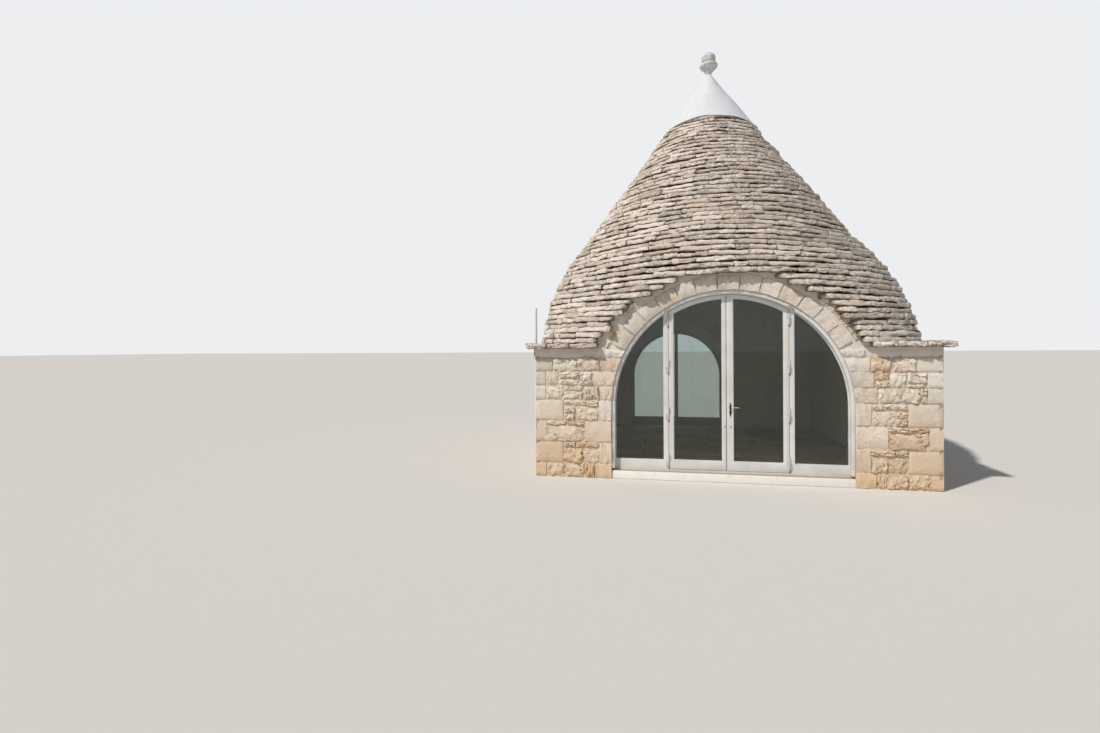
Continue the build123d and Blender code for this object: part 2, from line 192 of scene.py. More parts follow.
def limestone(name, tones, warm, lichen, stain, warm_share, lichen_share, relief, joint_dirt_and_shade, earth=None, splash=0):
    """Weathered limestone. Tones run from the darkest to the palest stone; relief is the bump in metres."""
    material, here = new_material(name)
    tone = add_node(material, "Attribute", attribute_name="stone_tone")
    stone = add_node(material, "SeparateColor", links={"Color": (tone, "Color")})
    # Five sizes of noise, from stains as wide as a third of a metre down to the grain
    broad, patches, crust, pits, grain = (
        add_node(material, "TexNoise", {"Scale": scale, "Detail": detail, "Roughness": rough}, here)
        for scale, detail, rough in (
            (3.1, 4.0, 0.6), (11.0, 6.0, 0.65), (24.0, 8.0, 0.72), (42.0, 3.0, 0.5), (70.0, 5.0, 0.7)))
    # The stone's own tone, clouded by patches as wide as a hand
    bed = add_node(material, "Math", {1: 0.55}, {0: (patches, "Fac")}, operation="MULTIPLY")
    bed = add_node(material, "Math", {1: 0.62}, {0: (stone, "Red"), 2: (bed, "Value")}, operation="MULTIPLY_ADD")
    bed = add_node(material, "ValToRGB", links={"Fac": (bed, "Value")}, stops=tones)
    # Iron in the bed turns a few stones orange, in spots
    warm_stones = add_node(
        material, "MapRange", {"From Min": 1 - warm_share, "From Max": 1.05 - warm_share * 0.5, "To Max": 0.85},
        {"Value": (stone, "Green")})
    warm_spots = add_node(material, "MapRange", {"From Min": 0.38, "From Max": 0.62}, {"Value": (patches, "Fac")})
    warm_mask = add_node(material, "Math", links={0: (warm_stones, "Result"), 1: (warm_spots, "Result")},
                         operation="MULTIPLY")
    colour = add_node(material, "Mix", {"B": linear(warm)},
                      {"Factor": (warm_mask, "Value"), "A": (bed, "Color")}, data_type="RGBA")
    # Lichen: grey crusts a few centimetres wide, thicker on some stones
    crust = add_node(material, "Math", {1: 0.22}, {0: (stone, "Blue"), 2: (crust, "Fac")}, operation="MULTIPLY_ADD")
    crust = add_node(material, "Math", {1: 0.3}, {0: (broad, "Fac"), 2: (crust, "Value")}, operation="MULTIPLY_ADD")
    bare = 0.28 * lichen_share
    crust = add_node(material, "MapRange", {"From Min": 0.96 - bare, "From Max": 1.05 - bare, "To Max": 0.8},
                     {"Value": (crust, "Value")})
    colour = add_node(material, "Mix", {"B": linear(lichen)},
                      {"Factor": (crust, "Result"), "A": (colour, "Result")}, data_type="RGBA")
    if splash:
        colour = splashed(material, here, (colour, "Result"), splash)
    # Brown stains in the pits
    pits = add_node(material, "MapRange", {"From Min": 0.36, "From Max": 0.28, "To Max": 0.7},
                    {"Value": (pits, "Fac")})
    colour = add_node(material, "Mix", {"B": linear(stain)},
                      {"Factor": (pits, "Result"), "A": (colour, "Result")}, data_type="RGBA")
    if earth:
        # The faces that look down are painted ochre-brown: painted warm shade for the undersides of the slabs
        under = facing(material, -0.86, -0.95, 0.8)
        colour = add_node(material, "Mix", {"B": linear(earth)},
                          {"Factor": (under, "Result"), "A": (colour, "Result")}, data_type="RGBA")
    # Grain lightens and darkens the face a little, and the edges towards the joints are darkened: partly dirt, partly
    # painted shade
    speck = add_node(material, "MapRange", {"From Min": 0.3, "From Max": 0.7, "To Min": 0.86, "To Max": 1.1},
                     {"Value": (grain, "Fac")})
    edge = add_node(material, "Attribute", attribute_name="stone_edge")
    grime_and_shade = add_node(material, "MapRange", {"To Min": 1.0, "To Max": joint_dirt_and_shade}, {"Value": (edge, "Fac")})
    shade = add_node(material, "Math", links={0: (speck, "Result"), 1: (grime_and_shade, "Result")}, operation="MULTIPLY")
    colour = add_node(material, "VectorMath", links={0: (colour, "Result"), "Scale": (shade, "Value")},
                      operation="SCALE")
    rough = add_node(material, "MapRange", {"To Min": 0.78, "To Max": 0.98}, {"Value": (grain, "Fac")})
    lumps = add_node(material, "Bump", {"Distance": relief}, {"Height": (patches, "Fac")})
    pitted = add_node(material, "Bump", {"Distance": relief * 0.35},
                      {"Height": (pits, "Result"), "Normal": (lumps, "Normal")}, invert=True)
    grit = add_node(material, "Bump", {"Distance": relief * 0.3},
                    {"Height": (grain, "Fac"), "Normal": (pitted, "Normal")})
    return finish(material, {"Specular IOR Level": 0.25}, {
        "Base Color": (colour, "Vector"), "Roughness": (rough, "Result"), "Normal": (grit, "Normal")})


print("earth is splashed", splash_top, "m up the walls")

# %% [markdown]
# Four stones come out of that one function. They differ in their tones, in how many of them iron has turned
# orange, in lichen, in dirt and painted shade at their edges, and in how rough the hammer, the chisel or the feet have
# left them.

# %% The four stones
# Split slabs from the field, grey with age: matt, lumpy, and nearly black in the open joints, whose edges are
# darkened as painted shade; the undersides are painted ochre as warm shade
roof_stone = limestone(
    "weathered_roof_slab", [(0.1, "#C0B1A6"), (0.35, "#DFD1C4"), (0.6, "#EEE1D5"), (0.9, "#F9EFE4")],
    warm="#DCBB9B", lichen="#AEA8A0", stain="#766858", warm_share=0.08, lichen_share=0.5, relief=0.038,
    joint_dirt_and_shade=0.38, earth="#B58A55")
# Blocks squared with a chisel: smooth and even, with a few pits
ashlar_stone = limestone(
    "dressed_ashlar", [(0.1, "#CCC0B1"), (0.4, "#DBD0C3"), (0.7, "#E6DDD2"), (0.95, "#EFE9E2")],
    warm="#DFC29D", lichen="#C4BEB6", stain="#AE9A82", warm_share=0.16, lichen_share=0.3, relief=0.016,
    joint_dirt_and_shade=0.6, splash=0.65)
# Pieces broken with a hammer: fresh pale faces in facets, some of them orange
rubble_stone = limestone(
    "hammered_rubble", [(0.1, "#DACAB6"), (0.4, "#EADDCB"), (0.7, "#F3E8D9"), (0.95, "#F8F1E7")],
    warm="#E2AE74", lichen="#D6CFC5", stain="#B59F83", warm_share=0.28, lichen_share=0.2, relief=0.03,
    joint_dirt_and_shade=0.75, splash=0.55)
# Floor slabs that years of feet have polished: darker, and almost without relief
floor_stone = limestone(
    "worn_floor_slab", [(0.1, "#A8977C"), (0.4, "#B8A78B"), (0.7, "#C6B79C"), (0.95, "#D2C5AC")],
    warm="#B8905F", lichen="#9C9384", stain="#8E7C61", warm_share=0.15, lichen_share=0.2, relief=0.004,
    joint_dirt_and_shade=0.7)
print("four kinds of limestone")

# %% [markdown]
# Between the stones is earth and lime mortar, and the room is plastered. Both are the CAD wall itself: outside
# it is the mortar bed that the stones are set into, inside it is the plaster. The two are told apart by where
# a point lies, because a wall's inner face is never further out than the room's half width.

# %% Mortar outside, plaster inside


def mortar(name, damp, dry, inside=None, outdoors=False):
    """Sandy lime mortar, splashed with earth outdoors; where inside is given, the room's faces are that plaster."""
    material, here = new_material(name)
    blotch = add_node(material, "TexNoise", {"Scale": 6.0, "Detail": 6.0, "Roughness": 0.6}, here)
    sand = add_node(material, "TexNoise", {"Scale": 180.0, "Detail": 3.0, "Roughness": 0.6}, here)
    colour = add_node(material, "ValToRGB", links={"Fac": (blotch, "Fac")}, stops=[(0.35, damp), (0.65, dry)])
    shown = (colour, "Color")
    if outdoors:
        shown = (splashed(material, here, shown, 0.5), "Result")
    if inside:
        axes = add_node(material, "SeparateXYZ", links=here)
        across = add_node(material, "Math", links={0: (axes, "X")}, operation="ABSOLUTE")
        along = add_node(material, "Math", links={0: (axes, "Y")}, operation="ABSOLUTE")
        reach = add_node(material, "Math", links={0: (across, "Value"), 1: (along, "Value")}, operation="MAXIMUM")
        within = add_node(material, "Math", {1: inner_half + 0.02}, {0: (reach, "Value")}, operation="LESS_THAN")
        plaster = add_node(material, "ValToRGB", links={"Fac": (blotch, "Fac")},
                           stops=[(0.3, inside), (0.7, "#EFE8DA")])
        shown = (add_node(material, "Mix", links={
            "Factor": (within, "Value"), "A": shown, "B": (plaster, "Color")}, data_type="RGBA"), "Result")
    trowel = add_node(material, "Bump", {"Distance": 0.008}, {"Height": (blotch, "Fac")})
    grit = add_node(material, "Bump", {"Distance": 0.0015},
                    {"Height": (sand, "Fac"), "Normal": (trowel, "Normal")})
    return finish(material, {"Roughness": 0.95, "Specular IOR Level": 0.2},
                  {"Base Color": shown, "Normal": (grit, "Normal")})


# Lime and sand, pale and dry in the joints, yellower near the ground; the plaster inside is smoother and creamy
wall_mortar = mortar("lime_mortar_and_plaster", "#D3C3AE", "#E2D5C3", "#E2D9C8", outdoors=True)
# The same mortar smoothed by hand over the arch, a little greyer as painted shade, for the band that lies in the slabs'
# shadow
head_mortar = mortar("smoothed_mortar", "#D5CABD", "#E6DED4", "#E2D9C8")
# Earth and chips behind the slabs, painted near black as painted shade, so that the open joints look deep
packing = mortar("dark_packing_as_painted_shade", "#4A4034", "#5D5244")
# Old plaster on the vault, warm and matt
vault_plaster = mortar("vault_plaster", "#DDD3C1", "#EBE3D3")
print("mortar, packing and plaster")

# %% [markdown]
# The cap, the finial and the thresholds are lime washed every year or two with a brush. Lime wash is chalky
# white and a little uneven, and dirt shows where rain runs. The finial is older paint with beige patches, and
# feet have worn the wash off the top of the thresholds; that brown top is also painted shade from the frame over it.

# %% Lime wash


def lime_wash(name, clean, dull, dirt, dirt_share, relief, tread_wear_and_shade=None):
    """Brushed lime over plaster or stone, dirty where dirt_share lets the noise through, and brown on top from wear and
    painted shade.
    """
    material, here = new_material(name)
    cloud = add_node(material, "TexNoise", {"Scale": 5.0, "Detail": 5.0, "Roughness": 0.6}, here)
    squash = add_node(material, "Mapping", {"Scale": (26.0, 26.0, 4.0)}, here)
    runs = add_node(material, "TexNoise", {"Scale": 1.0, "Detail": 4.0, "Roughness": 0.6},
                    {"Vector": (squash, "Vector")})
    brush = add_node(material, "TexNoise", {"Scale": 90.0, "Detail": 3.0, "Roughness": 0.6}, here)
    colour = add_node(material, "ValToRGB", links={"Fac": (cloud, "Fac")}, stops=[(0.35, dull), (0.6, clean)])
    both = add_node(material, "Math", links={0: (cloud, "Fac"), 1: (runs, "Fac")}, operation="MULTIPLY")
    clear = 0.16 * dirt_share
    mask = add_node(material, "MapRange", {"From Min": 0.32 - clear, "From Max": 0.42 - clear, "To Max": 0.75},
                    {"Value": (both, "Value")})
    mixed = add_node(material, "Mix", {"B": linear(dirt)},
                     {"Factor": (mask, "Result"), "A": (colour, "Color")}, data_type="RGBA")
    # The tops turn brown: worn by feet, and partly painted shade from the frame that stands over them
    if tread_wear_and_shade:
        top = facing(material, 0.8, 0.98, 0.85)
        mixed = add_node(material, "Mix", {"B": linear(tread_wear_and_shade)},
                         {"Factor": (top, "Result"), "A": (mixed, "Result")}, data_type="RGBA")
    uneven = add_node(material, "Bump", {"Distance": relief}, {"Height": (cloud, "Fac")})
    strokes = add_node(material, "Bump", {"Distance": relief * 0.15},
                       {"Height": (brush, "Fac"), "Normal": (uneven, "Normal")})
    return finish(material, {"Roughness": 0.88, "Specular IOR Level": 0.3},
                  {"Base Color": (mixed, "Result"), "Normal": (strokes, "Normal")})


# This year's coat: a chalky white, its cool tint a painted blue skylight
cap_wash = lime_wash("fresh_lime_wash", "#D9DDE3", "#D2D6DC", "#C8C8C6", 0.15, 0.012)
# Several winters old: grey with a cool tint of painted blue skylight, and the beige stone coming through
finial_wash = lime_wash("old_lime_wash", "#D2D8DE", "#BEC4CA", "#BFAF98", 0.4, 0.01)
# White on the riser; brown stone on the tread, partly wear and partly painted shade under the frame
step_wash = lime_wash("threshold_wash", "#F1EEEA", "#E9E5DF", "#D8CFC1", 0.08, 0.006, tread_wear_and_shade="#9A8468")
print("lime wash for the cap, the finial and the thresholds")

# %% [markdown]
# The frames are softwood under several coats of satin paint, an off-white that has gone a little grey. Paint
# hides the grain except for faint lines along the wood, so the bump is small and stretched upwards.

# %% Satin paint on wood


def satin_paint(name, fresh, worn):
    """Painted joinery: nearly even colour, faint grain along the height, soft shine."""
    material, here = new_material(name)
    along = add_node(material, "Mapping", {"Scale": (120.0, 120.0, 6.0)}, here)
    grain = add_node(material, "TexNoise", {"Scale": 1.0, "Detail": 3.0}, {"Vector": (along, "Vector")})
    cloud = add_node(material, "TexNoise", {"Scale": 4.0, "Detail": 5.0}, here)
    colour = add_node(material, "ValToRGB", links={"Fac": (cloud, "Fac")}, stops=[(0.35, worn), (0.62, fresh)])
    shine = add_node(material, "MapRange", {"To Min": 0.32, "To Max": 0.5}, {"Value": (cloud, "Fac")})
    bump = add_node(material, "Bump", {"Distance": 0.0006}, {"Height": (grain, "Fac")})
    return finish(material, {}, {
        "Base Color": (colour, "Color"), "Roughness": (shine, "Result"), "Normal": (bump, "Normal")})


# Satin shows as a broad soft shine on the edges; the rear frame gets less sun and has stayed creamier
frame_paint = satin_paint("satin_paint_on_wood", "#DEDEDC", "#D4D3D0")
rear_paint = satin_paint("satin_paint_rear", "#DFDCD5", "#D2CEC5")
print("paint for the frames")

# %% [markdown]
# The panes are clear float glass. Looked at straight on it lets almost all the light through, and at a slant it
# mirrors the surroundings, which the shader gives from the index of refraction alone. Real panes have a faint
# green body colour. The hinges, the handle and the lamp are painted or browned metal, rubbed where hands touch.

# %% Glass, metal and plastic
pane_glass, here = new_material("clear_float_glass")
ripple = add_node(pane_glass, "TexNoise", {"Scale": 1.3, "Detail": 1.0}, here)
smear = add_node(pane_glass, "MapRange", {"To Max": 0.03}, {"Value": (ripple, "Fac")})
finish(pane_glass, {"Base Color": linear("#CCD6D3"), "Transmission Weight": 1.0, "IOR": 1.45},
       {"Roughness": (smear, "Result")})


def worn_metal(name, paint, bare, rough, metallic, scale):
    """Painted or patinated metal, duller and browner in patches."""
    material, here = new_material(name)
    patch = add_node(material, "TexNoise", {"Scale": scale, "Detail": 6.0, "Roughness": 0.65}, here)
    colour = add_node(material, "ValToRGB", links={"Fac": (patch, "Fac")}, stops=[(0.4, paint), (0.68, bare)])
    dull = add_node(material, "MapRange", {"To Min": rough - 0.12, "To Max": rough + 0.15}, {"Value": (patch, "Fac")})
    bump = add_node(material, "Bump", {"Distance": 0.0004}, {"Height": (patch, "Fac")})
    return finish(material, {"Metallic": metallic}, {
        "Base Color": (colour, "Color"), "Roughness": (dull, "Result"), "Normal": (bump, "Normal")})


# Steel under the frame's paint, steel worn grey by the knuckles and darker as painted shade, iron browned with
# age, bronze rubbed bright, black stove paint, and pipe plastic that has yellowed
hinge_metal = worn_metal("painted_steel_hinge", "#CFCFCC", "#B3B1AC", 0.4, 0.0, 60.0)
pin_metal_and_shade = worn_metal("worn_steel_pin_and_painted_shade", "#C6C5C1", "#A19D96", 0.4, 0.0, 60.0)
handle_metal = worn_metal("browned_handle", "#1E1A18", "#3A322C", 0.4, 0.8, 90.0)
lever_metal = worn_metal("rubbed_bronze_lever", "#E2D2B6", "#BBA88A", 0.35, 0.2, 90.0)
lamp_metal = worn_metal("black_painted_lamp", "#1B1A1A", "#2B2826", 0.45, 0.2, 60.0)
pipe_plastic = worn_metal("white_pipe_plastic", "#E4E2DC", "#CFCBC2", 0.5, 0.0, 25.0)
print("glass, hinges, handle, lamp and pipe")

# %% [markdown]
# Modelling helpers. Each operator works on whatever is selected, so every step first clears the selection.
# A finished piece is left at the origin, unturned and unscaled, with its place in its mesh, and rides on one
# of the CAD bodies, so that the doors carry their own pieces when they swing.

# %% Helpers for modelling


def only(obj):
    """Makes one object the only one selected, and the active one."""
    for other in bpy.context.selected_objects:
        other.select_set(False)
    if obj:
        obj.select_set(True)
    bpy.context.view_layer.objects.active = obj
    return obj


def shape(name, points, edges, faces):
    """New object from points and what joins them, selected alone."""
    mesh = bpy.data.meshes.new(name)
    mesh.from_pydata(points, edges, faces)
    obj = bpy.data.objects.new(name, mesh)
    bpy.context.collection.objects.link(obj)
    return only(obj)


def open_up(obj):
    """Starts edit mode with the whole mesh selected."""
    only(obj)
    bpy.ops.object.mode_set(mode="EDIT")
    bpy.ops.mesh.select_all(action="SELECT")


def settle(obj, name, material, body="house", stands_for=(), angle=40):
    """Finishes a piece: place into its mesh, name, material, shading, body and the nodes it stands for."""
    only(obj)
    bpy.ops.object.transform_apply(location=True, rotation=True, scale=True)
    obj.name = obj.data.name = name
    if material:
        obj.data.materials.clear()
        obj.data.materials.append(material)
    bpy.ops.object.shade_smooth_by_angle(angle=math.radians(angle))
    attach(obj, body)
    if stands_for:
        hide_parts(*stands_for)
    only(None)
    return obj


# %% [markdown]
# A stone is modelled once and copied. Its blank is a grid that is extruded to its depth, drawn in at the face
# for a worn edge, and then shaken a little, as a hammer leaves it. A dozen blanks with different seeds are
# enough that no two neighbours look alike, and four or six where the stones are few or smooth. The blank is
# kept as plain arrays in a unit box, so that each copy can be stretched between the eight corners of its own
# place in the wall. It has only a few dozen faces, because it comes back hundreds of times.

# %% The stone blank


def stone_blank(size, cuts, edge, shake, seed, wave=0.0, bulge=0.0, rounding=(0.0, 0.0)):
    """Unit-box blank of one stone: corners array, face list, distance from the face. X along, Y up, Z out.

    Size is its length, height and depth, edge the width of its worn edge, shake how rough its face is, wave
    how far its long edges wander, bulge how far the middle of its face stands out, and rounding how far its
    two ends fall back, all in metres."""
    length, height, depth = size
    only(None)
    bpy.ops.mesh.primitive_grid_add(x_subdivisions=cuts[0], y_subdivisions=cuts[1], size=1)
    obj = bpy.context.object
    obj.scale = (length, height, 1)
    bpy.ops.object.transform_apply(scale=True)
    open_up(obj)
    bpy.ops.mesh.extrude_region_move(TRANSFORM_OT_translate={"value": (0, 0, depth - edge)})
    bpy.ops.mesh.extrude_region_move(TRANSFORM_OT_translate={"value": (0, 0, edge)})
    # The face is smaller than the back, by most of the worn edge on every side
    inward = 2 * 0.8 * edge
    bpy.ops.transform.resize(value=((length - inward) / length, (height - inward) / height, 1),
                             center_override=(0, 0, 0))
    bpy.ops.mesh.select_all(action="SELECT")
    bpy.ops.mesh.normals_make_consistent(inside=False)
    mesh = bmesh.from_edit_mesh(obj.data)
    for vertex in mesh.verts:
        vertex.select = vertex.co.z > depth - edge * 1.5
    mesh.select_flush(True)
    bmesh.update_edit_mesh(obj.data)
    bpy.ops.transform.vertex_random(offset=shake, uniform=0.5, seed=seed)
    mesh = bmesh.from_edit_mesh(obj.data)
    back = [face for face in mesh.faces if all(vertex.co.z < depth * 0.01 for vertex in face.verts)]
    bmesh.ops.dissolve_faces(mesh, faces=back)
    chance = random.Random(seed)
    phases = [chance.uniform(0, 6.3) for _ in range(4)]
    # The long edges wander, the middle bulges, and the ends fall back and get thinner
    for vertex in mesh.verts:
        along, over = vertex.co.x / length + 0.5, vertex.co.y / height + 0.5
        front = vertex.co.z / depth
        low = math.sin(5 * along + phases[0]) + 0.6 * math.sin(13 * along + phases[1])
        high = math.sin(6 * along + phases[2]) + 0.6 * math.sin(15 * along + phases[3])
        vertex.co.y += wave * front * 0.7 * (low * (1 - over) + high * over)
        ends = rounding[0] * max(0, 1 - along * 5) ** 2 + rounding[1] * max(0, along * 5 - 4) ** 2
        squeeze = min(1, ends / depth * 2.5)
        vertex.co.z += (bulge * (1 - (2 * over - 1) ** 2) - ends) * front
        vertex.co.y -= (over - 0.5) * height * 0.5 * squeeze * front
    bmesh.update_edit_mesh(obj.data)
    bpy.ops.object.mode_set(mode="OBJECT")
    points = np.array([tuple(vertex.co) for vertex in obj.data.vertices])
    unit = points / size + (0.5, 0.5, 0)
    faces = [list(face.vertices) for face in obj.data.polygons]
    rim = np.clip((depth - points[:, 2]) / edge, 0, 1)
    bpy.data.objects.remove(obj)
    return unit, faces, rim


slab_size = (0.34, 0.09, 0.22)
slab_blanks = [stone_blank(slab_size, (8, 3), 0.013, 0.013, seed, 0.009, 0.009, (0.008, 0.008))
               for seed in range(1, 13)]
# The last slab of a course beside an arch is a tongue, rounded off at one end
tongue_blanks = [stone_blank(slab_size, (8, 3), 0.014, 0.010, seed, 0.006, 0.007, (0.006, 0.06))
                 for seed in range(31, 35)]
ashlar_blanks = [stone_blank((0.42, 0.24, 0.1), (7, 4), 0.010, 0.0035, seed, 0.002, 0.003)
                 for seed in range(11, 17)]
rubble_blanks = [stone_blank((0.26, 0.16, 0.1), (7, 5), 0.020, 0.027, seed, 0.009, 0.014)
                 for seed in range(21, 33)]
print("a roof slab has", len(slab_blanks[0][1]), "faces")

# %% [markdown]
# The blanks are laid by arrays: for each stone the eight corners of its place are given, and every point of the
# blank is blended between them. All stones of one piece are then joined into one mesh in a single call, which
# is far quicker than thousands of objects, and the random numbers of each stone go into the attribute that the
# limestone reads.

# %% Laying stones


class Masonry:
    """Collects stones and joins them into one mesh."""

    def __init__(self, seed):
        self.chance = random.Random(seed)
        self.points, self.faces, self.tones, self.rims = [], [], [], []
        self.count = 0

    def add(self, points, faces, rim, tone):
        """Adds one stone's points and faces, with its three random numbers."""
        self.faces.extend([index + self.count for index in face] for face in faces)
        self.count += len(points)
        self.points.append(points)
        self.tones.append(np.tile((*tone, 1.0), (len(points), 1)))
        self.rims.append(rim)

    def stone(self, blanks, corners, tone=None, turned=None):
        """Adds a stone from a blank. Corners is a 2 x 2 x 2 block of points: along, up, out."""
        unit, faces, rim = self.chance.choice(blanks)
        unit = unit.copy()
        if self.chance.random() < 0.5 if turned is None else turned:
            # Half a turn about the line that points out of the wall gives a second stone from one blank
            unit[:, 0] = 1 - unit[:, 0]
            unit[:, 1] = 1 - unit[:, 1]
        block = np.asarray(corners, float)
        u, v, w = unit[:, 0:1], unit[:, 1:2], unit[:, 2:3]
        placed = sum(
            (u if i else 1 - u) * (v if j else 1 - v) * (w if k else 1 - w) * block[i, j, k]
            for i in (0, 1) for j in (0, 1) for k in (0, 1))
        # Nothing reaches into the ground
        placed[:, 2] = np.maximum(placed[:, 2], 0)
        self.add(placed, faces, rim, tone or [self.chance.random() for _ in range(3)])

    def piece(self, name, material, slot, stands_for=(), angle=50):
        """Joins all the stones into one finished object."""
        obj = shape(name, np.concatenate(self.points).tolist(), [], self.faces)
        tone = obj.data.color_attributes.new("stone_tone", "FLOAT_COLOR", "POINT")
        tone.data.foreach_set("color", np.concatenate(self.tones).astype(np.float32).ravel())
        edge = obj.data.attributes.new("stone_edge", "FLOAT", "POINT")
        edge.data.foreach_set("value", np.concatenate(self.rims).astype(np.float32))
        settle(obj, name, material, stands_for=stands_for, angle=angle)
        print(name, "has", len(self.points), "stones and", sum(len(f) - 2 for f in self.faces), "triangles")


# %% [markdown]
# The roof line of the CAD model: a rounded square at the eave, whose corners grow until at four metres the
# course is a circle, and a straight cone above. A course is walked along its outline by length, so that slabs
# keep their true size on the straights and round the corners.

# %% The roof's outline


def roof_outline(z):
    """Half width of a course and half of its straight run, at a height."""
    if z >= round_height:
        return round_slope * (cone_tip - z), 0.0
    rise = (z - eave_top) / (round_height - eave_top)
    lean = eave_half - round_slope * (cone_tip - round_height)
    return eave_half - lean * max(rise, 0) ** belly, eave_run * (1 - rise)


def quarter_length(half, run):
    """Length of a quarter of a rounded square."""
    return 2 * run + math.pi * (half - run) / 2


def walk(half, run, along):
    """Point and outward direction at a length along a rounded square, counted from the middle of the +X side."""
    corner = half - run
    quarter = quarter_length(half, run)
    turn, rest = divmod(along, quarter)
    if rest < run:
        point, out = (half, rest), (1.0, 0.0)
    elif rest < quarter - run:
        angle = (rest - run) / corner
        out = (math.cos(angle), math.sin(angle))
        point = (run + corner * out[0], run + corner * out[1])
    else:
        point, out = (quarter - rest, half), (0.0, 1.0)
    for _ in range(int(turn) % 4):
        point, out = (-point[1], point[0]), (-out[1], out[0])
    return Vector((*point, 0)), Vector((*out, 0))


def cut_circle(arch):
    """Radius and centre height of the circle that the roof is cut to round an arch."""
    _, radius, spring = arch
    top = spring + radius + ring + cut_over
    side = math.sqrt((radius + ring) ** 2 - (eave_top - spring) ** 2) + cut_beside
    centre = (top ** 2 - eave_top ** 2 - side ** 2) / (2 * (top - eave_top))
    return top - centre, centre


def cut_half(arch, z):
    """Half the width of the roof's cut at a height, or nothing above its crown."""
    radius, centre = cut_circle(arch)
    return math.sqrt(radius ** 2 - (z - centre) ** 2) if abs(z - centre) < radius else None


print("the roof is cut back to a circle of", round(cut_circle(front_arch)[0], 2), "m at the front")

# %% [markdown]
# The roof is about fifty courses of flat slabs, laid dry. Each course steps in a little over the one below, so
# every slab shows its rough front edge and a strip of its top, and the joints are dark because they are open and
# the packing behind them is painted near black as shade.
# The courses are thicker at the eave than at the tip, and they sag a little over the corners of the house.
# Where the arches rise into the roof the courses stop in steps, and the last slabs there stand a little proud,
# which throws the scalloped shadow on the arch stones. An array modifier could repeat one slab round a course,
# but no two real ones are alike, so each slab gets its own length, tilt and tone.

# %% Courses of the roof
course_count = 48
tallest, lowest = 0.0985, 0.0845
heights = np.linspace(tallest, lowest, course_count)
heights *= (roof_top - eave_top) / heights.sum()
levels = eave_top + np.concatenate(([0], np.cumsum(heights)))
# How far from the cone's axis the front courses stop, left (-1) and right (1) of the arch, at each height
front_ends = {
    -1: [(2.17, 2.0), (2.3, 1.92), (2.4, 1.8), (2.5, 1.76), (2.61, 1.65), (2.7, 1.57), (2.84, 1.44), (2.9, 1.29),
         (2.98, 1.06), (3.05, 0.91), (3.12, 0.82), (3.23, 0.58)],
    1: [(2.17, 1.98), (2.28, 1.89), (2.39, 1.83), (2.51, 1.74), (2.61, 1.63), (2.72, 1.54), (2.81, 1.41),
        (2.92, 1.26), (3.04, 0.98), (3.12, 0.84), (3.23, 0.62)]}
crown = 3.25
sag, sag_end = 0.09, 4.8


def dip(z, bearing):
    """How much lower a course lies over the corners of the house, a little over half way up most of all."""
    share = min(max((z - eave_top) / (sag_end - eave_top), 0), 1)
    return sag * math.sin(math.pi * share) * math.sin(2 * bearing) ** 2


def cut_end(arch, z, side):
    """The x where the slabs of a course stop beside an arch, or nothing above its crown."""
    half = cut_half(arch, z)
    if half is None or (arch is front_arch and z > crown):
        return None
    for _ in range(3):
        # The course sags, so its end is read lower down, and how far down depends on where the end is
        lower = z - dip(z, math.atan2(half, half_width))
        if arch is front_arch:
            half = float(np.interp(lower, *zip(*front_ends[side])))
        else:
            half = cut_half(arch, lower)
    return side * half if arch is front_arch else arch[0] + side * half


def stretches(half, run, z):
    """The runs of a course between the arches, each a start and an end along its outline."""
    quarter = quarter_length(half, run)
    length = 4 * quarter

    def place(x, side):
        """Length along the outline where the front (-1) or rear (1) face reaches an x, found by halving."""
        low, high = (2 * quarter, 4 * quarter) if side < 0 else (0, 2 * quarter)
        for _ in range(40):
            middle = (low + high) / 2
            if (walk(half, run, middle)[0].x < x) == (side < 0):
                low = middle
            else:
                high = middle
        return low

    front = [cut_end(front_arch, z, side) for side in (-1, 1)]
    rear = [cut_end(rear_arch, z, side) for side in (-1, 1)]
    if front[0] is None and rear[0] is None:
        return [(0, length)]
    if rear[0] is None:
        return [(place(front[1], -1) - length, place(front[0], -1))]
    if front[0] is None:
        return [(place(rear[0], 1), place(rear[1], 1) + length)]
    return [(place(front[1], -1) - length, place(rear[1], 1)), (place(rear[0], 1), place(front[0], -1))]


def course_point(middle, length, mark):
    """Point, direction, bearing and dip at a mark along a course."""
    half, run = roof_outline(middle)
    bearing = math.atan2(*walk(half, run, mark)[0].yx)
    lower = dip(middle, bearing)
    half, run = roof_outline(middle - lower)
    point, out = walk(half, run, mark * 4 * quarter_length(half, run) / length)
    return point, out, bearing, lower


print(course_count, "courses,", round(heights[0], 3), "m thick at the eave and", round(heights[-1], 3), "at the cap")

# %% [markdown]
# Now the slabs are laid. Every course is cut into lengths by a throw of dice, and each slab is a blank blended
# between eight corners that wander a little, so that no line of the roof is quite level or quite straight.
# Each quarter of the roof is a piece of its own and stands for the CAD courses of that quarter.

# %% Laying the roof
quarters = {
    "front_left": Masonry(101), "front_right": Masonry(102), "rear_left": Masonry(103), "rear_right": Masonry(104)}
slab_shares = (0.55, 0.75, 0.95, 1.1, 1.3, 1.6)
thinner = (0, 0, 0, 0.004, 0.008, 0.014)
slab_tail, side_overlap = 0.2, 0.004
